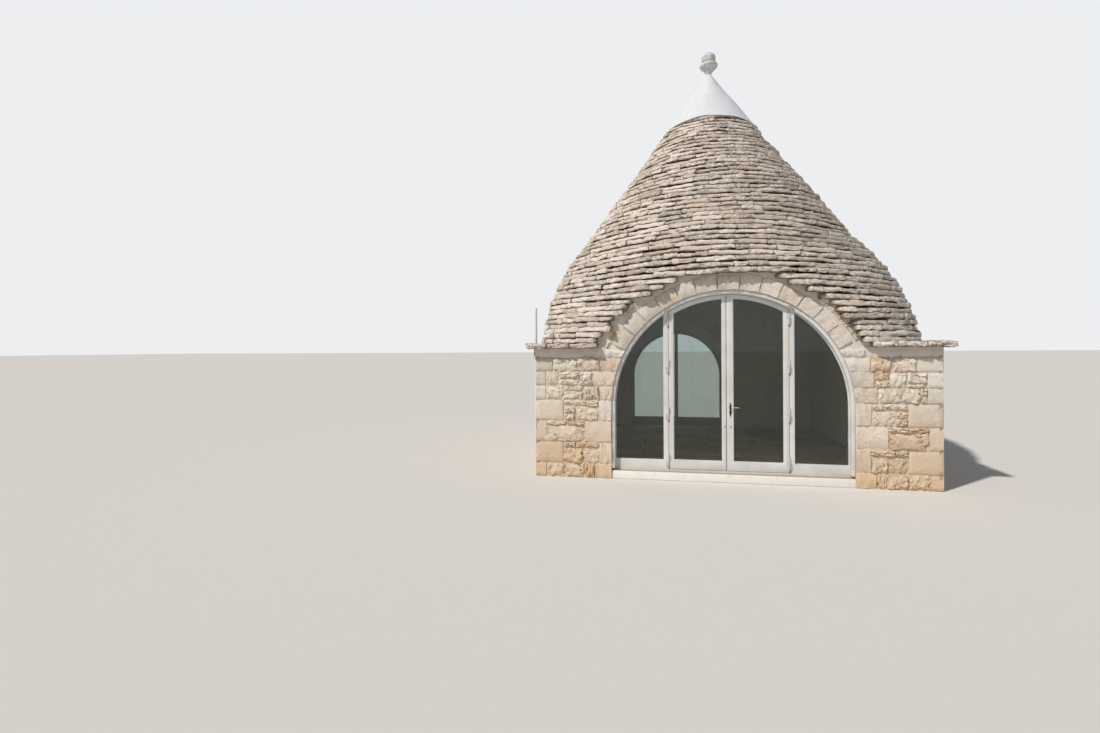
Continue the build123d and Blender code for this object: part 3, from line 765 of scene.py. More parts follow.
# Over an arch the slabs reach out to one line, on the front and rear faces alone, and less and less beside it
lip_line, lip_reach, face_from = half_width + 0.145, 0.5, 2.4
dice = random.Random(7)
for course in range(course_count):
    low, high = levels[course], levels[course + 1]
    middle = (low + high) / 2
    half, run = roof_outline(middle)
    length = 4 * quarter_length(half, run)
    slab_length = np.interp(course, (0, 12, 47), (0.37, 0.37, 0.33))
    step = dice.uniform(-0.01, 0.01)
    gap = np.interp(course, (0, 28, 47), (0.015, 0.016, 0.023))
    for start, end in stretches(half, run, middle):
        whole = end - start > length - 0.01
        offset = dice.uniform(0, 0.5) if whole else 0
        start += 0 if whole else dice.uniform(-0.04, 0.03)
        end += 0 if whole else dice.uniform(-0.03, 0.04)
        marks = [start + offset]
        while marks[-1] < end + offset - 1.3 * slab_length:
            marks.append(marks[-1] + slab_length * dice.choice(slab_shares))
        marks.append(end + offset)
        for place, (first, last) in enumerate(zip(marks[:-1], marks[1:])):
            centre = course_point(middle, length, (first + last) / 2)[0]
            key = ("front" if centre.y < 0 else "rear") + ("_left" if centre.x < 0 else "_right")
            # Slabs beside and just over an arch stand out further
            arch = front_arch if centre.y < 0 else rear_arch
            radius, height = cut_circle(arch)
            away = max(math.hypot(centre.x - arch[0], middle - height) - radius, 0)
            short_of_line = lip_line - half if abs(centre.y) > face_from else 0
            lip = max(0, short_of_line) * max(0, 1 - away / lip_reach)
            stands_out = step + lip + dice.uniform(-0.014, 0.014)
            tip = dice.uniform(0, 0.01)
            thin = dice.choice(thinner)
            free_end = not whole and place in (0, len(marks) - 2)
            block = np.zeros((2, 2, 2, 3))
            for i, mark in enumerate((first - side_overlap, last + side_overlap)):
                point, out, bearing, lower = course_point(middle, length, mark)
                turn = dice.uniform(-0.01, 0.01)
                # The whole course rises and falls slowly on its way round
                wave = 0.011 * math.sin(2 * bearing + 0.3 * course) + 0.007 * math.sin(5 * bearing - 0.5 * course)
                for j, level in enumerate((low, high - gap - thin)):
                    for k, reach in enumerate((-slab_tail, stands_out + turn + (0.002, -0.010)[j])):
                        z = level - lower + wave + dice.uniform(-0.004, 0.004) - (tip if k else 0)
                        block[i, j, k] = point + out * (reach + dice.uniform(-0.004, 0.004)) + Vector((0, 0, z))
            quarters[key].stone(tongue_blanks if free_end else slab_blanks, block,
                                turned=(place == 0) if free_end else None)
for key, masonry in quarters.items():
    masonry.piece("roof_slabs_" + key, roof_stone, "roof_slab", ("roof_lower_" + key, "roof_upper_" + key))

# %% [markdown]
# Behind the slabs the real roof is packed with rubble, and inside it is a smooth plastered vault. Both are one
# shell here: a grid is wrapped round the outline, once behind the slabs and once on the room's side, and the
# two arches are cut out of it with cylinders and the Boolean modifier. The packing is painted near black, as
# painted shade for the open joints.

# %% Packing and vault
around, rows = 96, 30
behind_slabs, room_side = 0.165, shell - 0.01


def modifier(obj, kind, **settings):
    """Adds a modifier, sets it and applies it."""
    only(obj)
    added = obj.modifiers.new(kind.lower(), kind)
    for key, value in settings.items():
        setattr(added, key, value)
    bpy.ops.object.modifier_apply(modifier=added.name)
    return obj


shell_levels = np.linspace(wall_height, roof_top, rows)
core_points = []
for inset, ordered in ((behind_slabs, shell_levels), (room_side, shell_levels[::-1])):
    for z in ordered:
        half, run = roof_outline(z)
        half -= inset
        run = max(min(run, half - 0.05), 0)
        length = 4 * quarter_length(half, run)
        core_points += [(*walk(half, run, length * step / around)[0].xy, z) for step in range(around)]
core_faces = []
for row in range(2 * rows):
    below, above = row * around, (row + 1) % (2 * rows) * around
    for step in range(around):
        following = (step + 1) % around
        core_faces.append((below + step, below + following, above + following, above + step))
core = shape("roof_core", core_points, [], core_faces)
for arch, side in ((front_arch, -1), (rear_arch, 1)):
    radius, height = cut_circle(arch)
    only(None)
    bpy.ops.mesh.primitive_cylinder_add(
        vertices=96, radius=radius - 0.005, depth=3, location=(arch[0], side * half_width, height),
        rotation=(math.radians(90), 0, 0))
    cutter = bpy.context.object
    modifier(core, "BOOLEAN", operation="DIFFERENCE", solver="EXACT", object=cutter)
    bpy.data.objects.remove(cutter)
for coat in (packing, vault_plaster):
    core.data.materials.append(coat)
# Plaster on the faces that look into the room; those that the cutters left near the outside stay packing, painted dark
# as shade
for face in core.data.polygons:
    half, run = roof_outline(min(face.center.z, roof_top))
    inward = face.normal.x * face.center.x + face.normal.y * face.center.y
    face.material_index = 1 if inward < 0 and face.center.xy.length < half * 1.35 - 0.3 else 0
settle(core, "roof_core", None, angle=30)
print("the packing and vault have", len(core.data.polygons), "faces")

# %% [markdown]
# The cap is a cone of plaster over the last courses. It was floated by hand, so its side is not quite straight
# and its lower edge wanders over the slabs, lower on the left and right. A cone is added, cut into rows, and
# its points are moved by a slow wave and a small random shake.

# %% Cap
cap_foot_radius, tip_radius = 0.85, 0.05
cap_tip = cone_tip - tip_radius
cap_tall = cap_tip - roof_top
cap_rows = 14
only(None)
bpy.ops.mesh.primitive_cone_add(
    vertices=72, radius1=cap_foot_radius, radius2=tip_radius, depth=cap_tall, location=(0, 0, (cap_tip + roof_top) / 2))
cap = bpy.context.object
bpy.ops.object.transform_apply(location=True)
open_up(cap)
for step in range(1, cap_rows):
    bpy.ops.mesh.select_all(action="SELECT")
    bpy.ops.mesh.bisect(plane_co=(0, 0, roof_top + cap_tall * step / cap_rows), plane_no=(0, 0, 1))
bpy.ops.mesh.select_all(action="SELECT")
bpy.ops.transform.vertex_random(offset=0.0025, seed=3)
bpy.ops.object.mode_set(mode="OBJECT")
for vertex in cap.data.vertices:
    angle = math.atan2(vertex.co.y, vertex.co.x)
    share = (vertex.co.z - roof_top) / cap_tall
    radius = vertex.co.xy.length
    if radius > 0.02:
        wave = 0.007 * math.sin(3 * angle + 9 * share) + 0.005 * math.sin(5 * angle - 7 * share + 1)
        swell = -0.01 * math.sin(math.pi * share)
        factor = (radius + (wave + swell) * min(1, radius / 0.2)) / radius
        vertex.co.x *= factor
        vertex.co.y *= factor
    if share < 0.01:
        drop = 0.09 + 0.012 * math.cos(angle) + 0.05 * math.cos(2 * angle)
        drop += 0.012 * math.sin(4 * angle) + 0.008 * math.sin(9 * angle + 2)
        vertex.co.z -= drop
        vertex.co.x *= 1 + round_slope * drop / cap_foot_radius
        vertex.co.y *= 1 + round_slope * drop / cap_foot_radius
settle(cap, "plaster_cap", cap_wash, stands_for=("roof_cap",), angle=35)
print("the cap has", len(cap.data.polygons), "faces")

# %% [markdown]
# The finial is two stones turned on a lathe: a bowl and a knob with a low dome. A profile is drawn as an edge
# chain and spun round the cone's axis, and a shake keeps it from looking machined. The lathe is a helper,
# because the hinges and the handle have turned parts too.

# %% Finial


def close_up(merge=None):
    """Joins doubles closer than a distance, turns all faces outwards and ends edit mode."""
    bpy.ops.mesh.select_all(action="SELECT")
    if merge:
        bpy.ops.mesh.remove_doubles(threshold=merge)
    bpy.ops.mesh.normals_make_consistent(inside=False)
    bpy.ops.object.mode_set(mode="OBJECT")


def lathe(name, chains, centre, axis, steps, merge=0.0001, closed=False):
    """Turned shape: chains of points spun once round an axis, each of them closed to a loop if asked."""
    points, edges = [], []
    for chain in chains:
        start, count = len(points), len(chain)
        points += chain
        edges += [(start + i, start + (i + 1) % count) for i in range(count if closed else count - 1)]
    obj = shape(name, points, edges, [])
    open_up(obj)
    bpy.ops.mesh.spin(steps=steps, angle=math.radians(360), center=centre, axis=axis, dupli=False)
    close_up(merge)
    return obj


finial_profile = [
    (0.0, -0.01), (0.046, -0.01), (0.05, 0.02), (0.074, 0.06), (0.108, 0.1), (0.144, 0.134), (0.168, 0.158),
    (0.18, 0.18), (0.181, 0.2), (0.172, 0.22), (0.156, 0.236), (0.132, 0.246), (0.106, 0.25), (0.104, 0.258),
    (0.122, 0.266), (0.134, 0.28), (0.139, 0.302), (0.136, 0.33), (0.14, 0.342), (0.138, 0.37), (0.128, 0.4),
    (0.108, 0.426), (0.078, 0.446), (0.04, 0.458), (0.0, 0.462)]
finial = lathe("turned_finial", [[(r, 0, cap_tip + z) for r, z in finial_profile]], (0, 0, 0), (0, 0, 1), 48, 0.0005)
open_up(finial)
bpy.ops.transform.vertex_random(offset=0.0015, seed=5)
bpy.ops.object.mode_set(mode="OBJECT")
settle(finial, "turned_finial", finial_wash, stands_for=("finial",), angle=50)
print("the finial has", len(finial.data.polygons), "faces")

# %% [markdown]
# Flat slabs cap the walls and stick out as a ledge that throws rain clear. They run along each wall up to the
# arch, and their front edges are as rough as the roof's.

# %% Eave slabs
wall_sides = {
    "front": (Vector((1, 0, 0)), Vector((0, -1, 0))),
    "right": (Vector((0, 1, 0)), Vector((1, 0, 0))),
    "rear": (Vector((-1, 0, 0)), Vector((0, 1, 0))),
    "left": (Vector((0, -1, 0)), Vector((-1, 0, 0))),
}
ledge_gap = 0.003


def ledge(masonry, face, start, end, size):
    """Row of flat slabs along a part of one wall, with a size that their lengths lie near."""
    along, out = wall_sides[face]
    length = end - start
    count = max(1, round(length / size))
    shares = np.array([masonry.chance.uniform(0.7, 1.3) for _ in range(count)])
    marks = np.concatenate(([0], np.cumsum(shares) / shares.sum())) * length
    for first, last in zip(marks[:-1], marks[1:]):
        stands_out = masonry.chance.uniform(-0.012, 0.004)
        block = np.zeros((2, 2, 2, 3))
        for i, mark in enumerate((first + ledge_gap, last - ledge_gap)):
            for j, z in enumerate((wall_height, eave_top)):
                for k, reach in enumerate((inner_half + 0.05, half_width + eave_overhang + stands_out)):
                    wobble = masonry.chance.uniform(-0.003, 0.003)
                    block[i, j, k] = along * (start + mark) + out * (reach + wobble) + Vector((0, 0, z + wobble))
        masonry.stone(slab_blanks, block)


corner_reach = half_width + eave_overhang
# On the rear the walk goes from right to left, so the arch's centre changes its sign
rear_seen = (-rear_arch[0], rear_arch[1], rear_arch[2])
for name, seed, faces, arch, size in (
    ("front", 31, ("front",), front_arch, 0.42), ("rear", 32, ("rear",), rear_seen, 0.42),
    ("side", 33, ("left", "right"), None, 0.45),
):
    masonry = Masonry(seed)
    for face in faces:
        if arch:
            cut = cut_half(arch, wall_height + eave_thick / 2)
            runs = [(-corner_reach, arch[0] - cut), (arch[0] + cut, corner_reach)]
        else:
            runs = [(-inner_half, inner_half)]
        for start, end in reversed(runs) if face == "rear" else runs:
            ledge(masonry, face, start, end, size)
    masonry.piece(name + "_ledge", roof_stone, "roof_slab", ("eave_" + name + "_slabs",))

# %% [markdown]
# The walls. At the corners and beside the arches stand squared blocks, long and short in turn, and between them
# the wall is rubble brought up to the same courses. The stones are set into the mortar of the CAD wall and stand
# a little proud of it, so that the joints are real grooves. The courses of the front follow the photograph: each
# has its two squared blocks and the boxes of rubble between them, as shares of the space from the jamb to the
# corner block and from the bed joint up.

# %% Courses of the walls
row_levels = [0.0, 0.23, 0.575, 0.915, 1.255, 1.485, 1.715, 1.935, 2.085]
beds = list(zip(row_levels[:-1], row_levels[1:]))
proud = 0.009
sunk = 0.05
joint = 0.005
into_opening = 0.003
through_wall = wall_thick - 0.004
# For each course: length of the jamb stone, length of the corner block, boxes (near, low, far, high)
right_courses = [
    (0.27, 0.17, [(0, 0, 0.2, 1), (0.2, 0, 0.6, 1), (0.6, 0, 1, 1)]),
    (0.2, 0.455, [(0, 0, 0.46, 0.7), (0.46, 0, 1, 0.72), (0, 0.72, 0.66, 1), (0.66, 0.74, 1, 1)]),
    (0.44, 0.18, [(0, 0, 1, 0.74), (0, 0.76, 0.48, 1), (0.48, 0.76, 1, 1)]),
    (0.21, 0.46, [(0, 0, 0.66, 0.66), (0.67, 0, 1, 0.35), (0.67, 0.35, 1, 0.68), (0, 0.68, 0.34, 1),
                  (0.34, 0.7, 1, 1)]),
    (0.3, 0.2, [(0, 0, 0.5, 1), (0.5, 0, 0.86, 1), (0.86, 0, 1, 0.5), (0.86, 0.5, 1, 1)]),
    (0.3, 0.2, [(0, 0.42, 0.3, 1), (0, 0, 0.3, 0.42), (0.3, 0, 0.62, 1), (0.62, 0.25, 1, 1), (0.62, 0, 1, 0.25)]),
    (0.32, 0.34, [(0, 0, 0.44, 1), (0.44, 0, 1, 1)]),
    (0.33, 0.2, [(0, 0, 0.4, 1), (0.4, 0, 1, 1)]),
]
left_courses = right_courses[:4] + [
    (0.2, 0.16, [(0, 0, 0.3, 1), (0.3, 0, 0.66, 0.6), (0.3, 0.6, 0.66, 1), (0.66, 0, 1, 1)]),
    (0.35, 0.16, [(0, 0.3, 0.28, 1), (0, 0, 0.28, 0.3), (0.28, 0.48, 0.72, 1), (0.28, 0, 0.72, 0.48),
                  (0.72, 0, 1, 1)]),
    (0.3, 0.28, [(0, 0, 0.48, 1), (0.48, 0, 1, 1)]),
    (0.3, 0.2, [(0, 0, 0.5, 1), (0.5, 0, 1, 1)]),
]
print("each wall has", len(beds), "courses")

# %% [markdown]
# One stone is given by its four corners on the wall, counted along the wall and up, and by how far it stands
# out of the wall and reaches into it. Rubble gets loose corners and more relief than a squared block.

# %% One stone on a wall


def wall_stone(masonry, face, blanks, quad, out=proud, back=sunk, tone=None):
    """One stone on a wall face. Quad is its corners (along, up), from low left round by the right."""
    along, away = wall_sides[face]
    low_left, low_right, high_right, high_left = quad
    block = [[[along * a + Vector((0, 0, z)) + away * (half_width + depth) for depth in (-back, out)]
              for a, z in ends] for ends in ((low_left, high_left), (low_right, high_right))]
    masonry.stone(blanks, block, tone)


def squared(masonry, face, ends, low, high, tone=None):
    """Squared block between two ends, in either order."""
    start, end = min(ends) + joint, max(ends) - joint
    quad = [(start, low + joint), (end, low + joint), (end, high - joint), (start, high - joint)]
    wall_stone(masonry, face, ashlar_blanks, quad, tone=tone)


def rubble(masonry, face, near, far, low, high, boxes):
    """Rubble between two places along the wall; the boxes are shares of that space, from near to far."""
    chance = masonry.chance
    for u0, v0, u1, v1 in boxes:
        a0, a1 = sorted((near + (far - near) * u0, near + (far - near) * u1))
        z0, z1 = low + (high - low) * v0, low + (high - low) * v1
        loose = 0.012 if min(a1 - a0, z1 - z0) > 0.09 else 0.006
        corners = [(a + sa * (joint + chance.uniform(0, loose)), z + sz * (joint + chance.uniform(0, loose)))
                   for a, z, sa, sz in ((a0, z0, 1, 1), (a1, z0, -1, 1), (a1, z1, -1, -1), (a0, z1, 1, -1))]
        wall_stone(masonry, face, rubble_blanks, corners, out=proud + chance.uniform(-0.004, 0.016))


print("joints are", round(2000 * joint), "mm wide and squared blocks stand", round(1000 * proud), "mm proud")

# %% [markdown]
# Beside an arch the course ends in a jamb stone whose inner edge follows the opening: upright below the
# springing and curved above it. It goes through the whole wall, because the reveal shows its side. The last
# one, the springer, has a sloping top that the first wedge of the arch leans on.

# %% Courses beside an arch
strip_foot = 1.945
below_top = strip_foot - 0.02
front_spread, rear_spread = 60.9, 62


def opening_edge(arch, z, side, extra=0.0):
    """Where the opening's edge, or a circle that much wider, lies at a height, left (-1) or right (1) of it."""
    centre, radius, spring = arch
    radius += extra
    return centre + side * (radius if z <= spring else math.sqrt(max(radius ** 2 - (z - spring) ** 2, 0)))


def springer(arch, spread):
    """Height at which the wedges' first joint meets the opening, and where it meets the ring's outer edge."""
    _, radius, spring = arch
    slope = math.radians(90 - spread)
    return spring + radius * math.sin(slope), spring + (radius + ring) * math.sin(slope)


def jamb_stone(masonry, face, arch, side, low, top, outer_x, outer_top):
    """Stone through the wall beside an opening, with its own top at each end."""
    start, end = (opening_edge(arch, z, side) - side * into_opening for z in (low, top))
    outer_x -= side * joint
    quad = [(start, low + joint), (outer_x, low + joint), (outer_x, outer_top - joint), (end, top - joint)]
    if side < 0:
        quad = [quad[1], quad[0], quad[3], quad[2]]
    wall_stone(masonry, face, ashlar_blanks, quad, back=through_wall)


print("the wedges spread", front_spread, "degrees each way and start", round(springer(front_arch, front_spread)[0], 2),
      "m up")

# %% [markdown]
# A wall beside an arch has its jamb stones, then rubble up to the corner block; higher up the rubble starts at
# the ring. A wall with no opening is rubble by the stretch, with a squared block now and then.

# %% Whole courses and corners


def beside_arch(walls, blocks, face, arch, side, courses, spread):
    """Courses from the opening to the corner of the house, on one side of an arch."""
    inner_top, outer_top = springer(arch, spread)
    for (low, high), (jamb, corner, boxes) in zip(beds, courses):
        if low < inner_top - 0.05:
            near = opening_edge(arch, (low + high) / 2, side) + side * jamb
            if high > inner_top:
                ring_foot = arch[0] + side * (arch[1] + ring) * math.cos(math.radians(90 - spread))
                near = max(near, ring_foot, key=lambda x: abs(x - arch[0]))
            jamb_stone(blocks, face, arch, side, low, min(high, inner_top), near,
                       min(high, outer_top) if high > inner_top else high)
        else:
            near = opening_edge(arch, low, side, ring + 0.03)
        far = side * (half_width - corner)
        if low < below_top and side * (far - near) > 0.06:
            rubble(walls, face, near, far, low, high, boxes)


def plain_course(masonry, face, start, end, low, high):
    """A course of a wall with no opening: rubble by the stretch, and now and then a squared block."""
    chance = masonry.chance
    place = start
    while end - place > 0.01:
        left_over = end - place
        if chance.random() < 0.3 and left_over > 0.9:
            length = chance.uniform(0.28, 0.46)
            squared(masonry, face, (place, place + length), low, high)
        else:
            length = left_over if left_over < 0.95 else chance.uniform(0.45, 0.62)
            boxes = chance.choice([boxes for _, _, boxes in right_courses[1:6] + left_courses[4:6]])
            near, far = (place + length, place) if chance.random() < 0.5 else (place, place + length)
            if high - low < 0.2:
                boxes = chance.choice([right_courses[0][2], right_courses[7][2]])
            rubble(masonry, face, near, far, low, high, boxes)
        place += length


def round_corner(on_front):
    """Length of a corner block on the side wall: short where it is long on the front, and the other way round."""
    return 0.2 if on_front > 0.25 else 0.44


def corner_quoins(masonry, sx, sy, courses):
    """Squared blocks up one corner, long on one face and short on the other in turn."""
    for (low, high), (_, on_front, _) in zip(beds, courses):
        under_ledge = low > below_top
        tone = (masonry.chance.random(), masonry.chance.random() * 0.8, masonry.chance.random())
        for length, face in ((on_front, "front" if sy < 0 else "rear"),
                             (round_corner(on_front), "right" if sx > 0 else "left")):
            corner = wall_sides[face][0].dot(Vector((sx, sy, 0))) * half_width
            grow = math.copysign(-joint if under_ledge else proud + joint, corner)
            if not (face == "front" and under_ledge):
                ends = (corner - math.copysign(length, corner), corner + grow)
                squared(masonry, face, ends, low, high, tone=tone)


print("corner blocks on the side walls are", round_corner(0.4), "or", round_corner(0.2), "m long")

# %% [markdown]
# With these helpers the walls are laid course by course. The rear and the sides can't be seen in the
# photograph, so they repeat the front's stones plainly. Under the stones the CAD walls get their mortar.

# %% The walls' stones


def repaint(material, *nodes):
    """Gives CAD nodes a finished material in place of their plain one."""
    for node in nodes:
        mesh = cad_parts[node].data
        mesh.materials.clear()
        mesh.materials.append(material)


front_joints = (29.4, 38.3, 47.6, 56.8, 66.5, 75.5, 84.8, 94.9, 104.8, 113.5, 123.4, 133.1, 142.2, 151.2)
front_stones, rear_stones, side_stones = Masonry(41), Masonry(42), Masonry(43)
quoins, front_blocks, rear_blocks = Masonry(44), Masonry(51), Masonry(52)
for side, courses in ((-1, left_courses), (1, right_courses)):
    beside_arch(front_stones, front_blocks, "front", front_arch, side, courses, front_spread)
rear_top = springer(rear_seen, rear_spread)[0]
for (low, high), (jamb, corner, _) in zip(beds, right_courses):
    for side in (-1, 1):
        outer_x = opening_edge(rear_seen, (low + high) / 2, side) + side * jamb
        start, end = sorted((outer_x, side * half_width - side * corner))
        plain_course(rear_stones, "rear", start, end, low, high)
        if low < rear_top:
            jamb_stone(rear_blocks, "rear", rear_seen, side, low, min(high, rear_top), outer_x, high)
for face, first, last in (("right", right_courses, left_courses), ("left", left_courses, left_courses)):
    for (low, high), (_, near, _), (_, far, _) in zip(beds, first, last):
        plain_course(side_stones, face, round_corner(near) - half_width, half_width - round_corner(far), low, high)
for sx in (-1, 1):
    for sy in (-1, 1):
        corner_quoins(quoins, sx, sy, right_courses if sx > 0 and sy < 0 else left_courses)
front_stones.piece("front_wall_stones", rubble_stone, "wall_stone")
rear_stones.piece("rear_wall_stones", rubble_stone, "wall_stone")
side_stones.piece("side_wall_stones", rubble_stone, "wall_stone")
quoins.piece("corner_quoins", ashlar_stone, "wall_stone")
repaint(wall_mortar, "front_wall_left", "front_wall_right", "rear_wall_left", "rear_wall_right", "left_wall",
        "right_wall")
repaint(head_mortar, "front_wall_head", "rear_wall_head", "front_arch_stones", "front_jambs", "rear_arch_stones",
        "rear_jambs")

# %% [markdown]
# Just under the ledge the front wall has a strip of smoothed mortar instead of stones, which lies in the shade
# of the slabs. A box is divided, its lower edge is let wander, and its face is rolled out at the foot.

# %% Strip under the ledge
strip_tall = wall_height - strip_foot
strip_end = 1.87
strip_deep, strip_proud = 0.07, 0.008
past_corner = proud + joint
for name, start, end in (
    ("strip_under_ledge_left", -half_width - past_corner, front_arch[0] - strip_end),
    ("strip_under_ledge_right", front_arch[0] + strip_end, half_width + past_corner),
):
    only(None)
    bpy.ops.mesh.primitive_cube_add(size=1)
    strip = bpy.context.object
    strip.scale = (end - start, strip_deep, strip_tall)
    strip.location = ((start + end) / 2, -half_width - strip_proud + strip_deep / 2, (wall_height + strip_foot) / 2)
    bpy.ops.object.transform_apply(location=True, scale=True)
    open_up(strip)
    bpy.ops.mesh.subdivide(number_cuts=14)
    bpy.ops.object.mode_set(mode="OBJECT")
    for vertex in strip.data.vertices:
        low = (wall_height - vertex.co.z) / strip_tall
        vertex.co.z -= low * 0.012 * (math.sin(7 * vertex.co.x) + 0.6 * math.sin(17 * vertex.co.x + 1))
        vertex.co.y += 0.004 * math.sin(5 * vertex.co.x + 9 * vertex.co.z) + 0.01 * low ** 4
    settle(strip, name, head_mortar, angle=50)
print("two strips", round(strip_tall, 2), "m tall")

# %% [markdown]
# The arch is a ring of wedge stones whose joints point to its centre. Each one is a blank bent into its wedge:
# along the ring, out from the opening, and through the whole wall, because the reveal shows their undersides.
# Between the ring and the roof lies a crescent of smooth mortar with small filling stones in it. The crescent
# is a square section spun round its centre and cut off level at the eave.

# %% Arch stones


def wedge(masonry, blanks, face, arch, angles, inner, outer, out, back):
    """Bends a blank into the ring between two angles, counted from the wall's own direction."""
    centre, _, spring = arch
    along, away = wall_sides[face]
    unit, blank_faces, rim = masonry.chance.choice(blanks)
    turn = np.radians(angles[1] + (angles[0] - angles[1]) * unit[:, 0])
    far = inner + (outer - inner) * unit[:, 1]
    points = np.outer(centre + far * np.cos(turn), along)
    points += np.outer(half_width - back + (out + back) * unit[:, 2], away)
    points[:, 2] = spring + far * np.sin(turn)
    masonry.add(points, blank_faces, rim, [masonry.chance.random() for _ in range(3)])


def arch_ring(masonry, face, arch, marks):
    """Wedges over the middle of one arch, between the joints whose angles are given."""
    radius = arch[1]
    chance = masonry.chance
    gap = math.degrees(0.006 / radius)
    for low, high in zip(marks[:-1], marks[1:]):
        outer = radius + ring + chance.uniform(-0.03, 0.02)
        wedge(masonry, ashlar_blanks, face, arch, (low + gap, high - gap), radius - into_opening, outer,
              0.014 + chance.uniform(-0.003, 0.004), through_wall)


def band(name, face, arch):
    """Smooth mortar between the ring and the roof slabs: a crescent, spun round the arch's centre.

    It starts behind the ring's stones, goes on under the slabs, and lies a hair behind the wall's face."""
    along, away = wall_sides[face]
    cut_radius, cut_height = cut_circle(arch)
    inner, outer = cut_radius - 0.1, cut_radius + 0.14
    section = [along * (arch[0] + r) + away * (half_width + out) + Vector((0, 0, cut_height))
               for r, out in ((inner, -0.35), (outer, -0.35), (outer, -0.002), (inner, -0.002))]
    middle = along * arch[0] + Vector((0, 0, cut_height))
    obj = lathe(name, [section], middle, away, 90, 0.0005, closed=True)
    open_up(obj)
    bpy.ops.mesh.bisect(plane_co=(0, 0, eave_top - 0.01), plane_no=(0, 0, 1), clear_inner=True, use_fill=True)
    close_up()
    settle(obj, name, head_mortar, angle=30)


# Filling stones: the angle that each starts at, its width in degrees, and its inner and outer radius
small_fillers = [
    (46.8, 4.4, 2.055, 2.19), (43.2, 3.3, 2.055, 2.18), (39.6, 3.2, 2.06, 2.15), (35.8, 3.4, 2.055, 2.13),
    (32.3, 3.1, 2.05, 2.13), (29.3, 2.6, 2.05, 2.12), (130.8, 3.2, 2.065, 2.19), (135.2, 3.0, 2.065, 2.18),
    (145.6, 4.2, 2.06, 2.11), (150.4, 3.6, 2.06, 2.11)]
rear_dice = random.Random(54)
rear_shares = np.array([rear_dice.uniform(0.85, 1.15) for _ in range(11)])
rear_joints = 90 - rear_spread + np.concatenate(([0], np.cumsum(rear_shares) / rear_shares.sum())) * 2 * rear_spread
arch_ring(front_blocks, "front", front_arch, front_joints)
arch_ring(rear_blocks, "rear", rear_seen, rear_joints)
fillers = Masonry(53)
for angle, width, inner, outer in small_fillers:
    wedge(fillers, rubble_blanks, "front", front_arch, (angle + 0.15, angle + width - 0.15), inner, outer, 0.012, 0.05)
band("front_mortar_band", "front", front_arch)
band("rear_mortar_band", "rear", rear_seen)
front_blocks.piece("front_arch_ring", ashlar_stone, "dressed_stone", angle=40)
rear_blocks.piece("rear_arch_ring", ashlar_stone, "dressed_stone", angle=40)
fillers.piece("filling_stones", rubble_stone, "wall_stone")

# %% [markdown]
# The joinery. The frame and the leaves are the CAD solids with their edges eased, because a painter's brush
# rounds every edge.

# %% Frames and leaves


def ease(obj, width, segments=2, angle=30):
    """Rounds the edges that are sharper than an angle."""
    return modifier(obj, "BEVEL", width=width, segments=segments, limit_method="ANGLE",
                    angle_limit=math.radians(angle))


def softened(node, edge, segments=2):
    """Copy of a CAD node with its loose triangles joined and its edges eased."""
    obj = bpy.data.objects.new(node + "_eased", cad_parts[node].data.copy())
    bpy.context.collection.objects.link(obj)
    open_up(obj)
    bpy.ops.mesh.remove_doubles(threshold=0.00002)
    bpy.ops.mesh.dissolve_limited(angle_limit=math.radians(1))
    bpy.ops.object.mode_set(mode="OBJECT")
    return ease(obj, edge, segments) if edge else obj


for node, body, paint in (
    ("front_frame", "house", frame_paint), ("left_leaf", "left_leaf", frame_paint),
    ("right_leaf", "right_leaf", frame_paint), ("rear_frame", "house", rear_paint),
):
    eased = softened(node, 0.004, 3)
    settle(eased, node + "_painted", paint, body, (node,), angle=30)
    print(eased.name, "has", len(eased.data.polygons), "faces")

# %% [markdown]
# In front of the frame runs a cover moulding that hides the joint with the stone: a square section drawn up
# one jamb, spun over the arch and drawn down the other. Its inner edge is cut back near the hinges, so that
# the top corner of an open leaf goes past it.

# %% Cover moulding


def casing(name, arch, foot, radii, depths, room, room_radius):
    """Cover moulding up one jamb, round the arch and down the other.

    Radii are its inner and outer edge, depths its back and front. Over the leaves' top corners, where the
    distance from the middle of the arch is within room, the inner edge is cut back to room_radius."""
    centre, _, spring = arch
    inner, outer = radii
    back, front = depths
    corners = [(centre - outer, back), (centre - inner, back), (centre - inner, front), (centre - outer, front)]
    obj = shape(name, [(x, y, foot) for x, y in corners], [], [(0, 1, 2, 3)])
    open_up(obj)
    bpy.ops.mesh.extrude_region_move(TRANSFORM_OT_translate={"value": (0, 0, spring - foot)})
    bpy.ops.mesh.spin(steps=144, angle=math.radians(180), center=(centre, 0, spring), axis=(0, -1, 0), dupli=False)
    bpy.ops.mesh.extrude_region_move(TRANSFORM_OT_translate={"value": (0, 0, foot - spring)})
    close_up(0.0002)
    for vertex in obj.data.vertices:
        across, up = vertex.co.x - centre, vertex.co.z - spring
        radius = math.hypot(across, up)
        if up > 0.5 and radius < (inner + outer) / 2 and room[0] < abs(across) < room[1]:
            vertex.co.x = centre + across * room_radius / radius
            vertex.co.z = spring + up * room_radius / radius
    ease(obj, 0.006, angle=50)
    return settle(obj, name, frame_paint, angle=30)


front_casing = casing("front_casing", front_arch, foot=floor_height + 0.035, radii=(1.746, 1.796),
                      depths=(-2.887, -2.978), room=(0.85, 0.97), room_radius=1.776)
print("the casing has", len(front_casing.data.polygons), "faces")

# %% [markdown]
# Round each pane runs a narrow glazing bead, made from the outline of the pane itself.

# %% Glazing beads


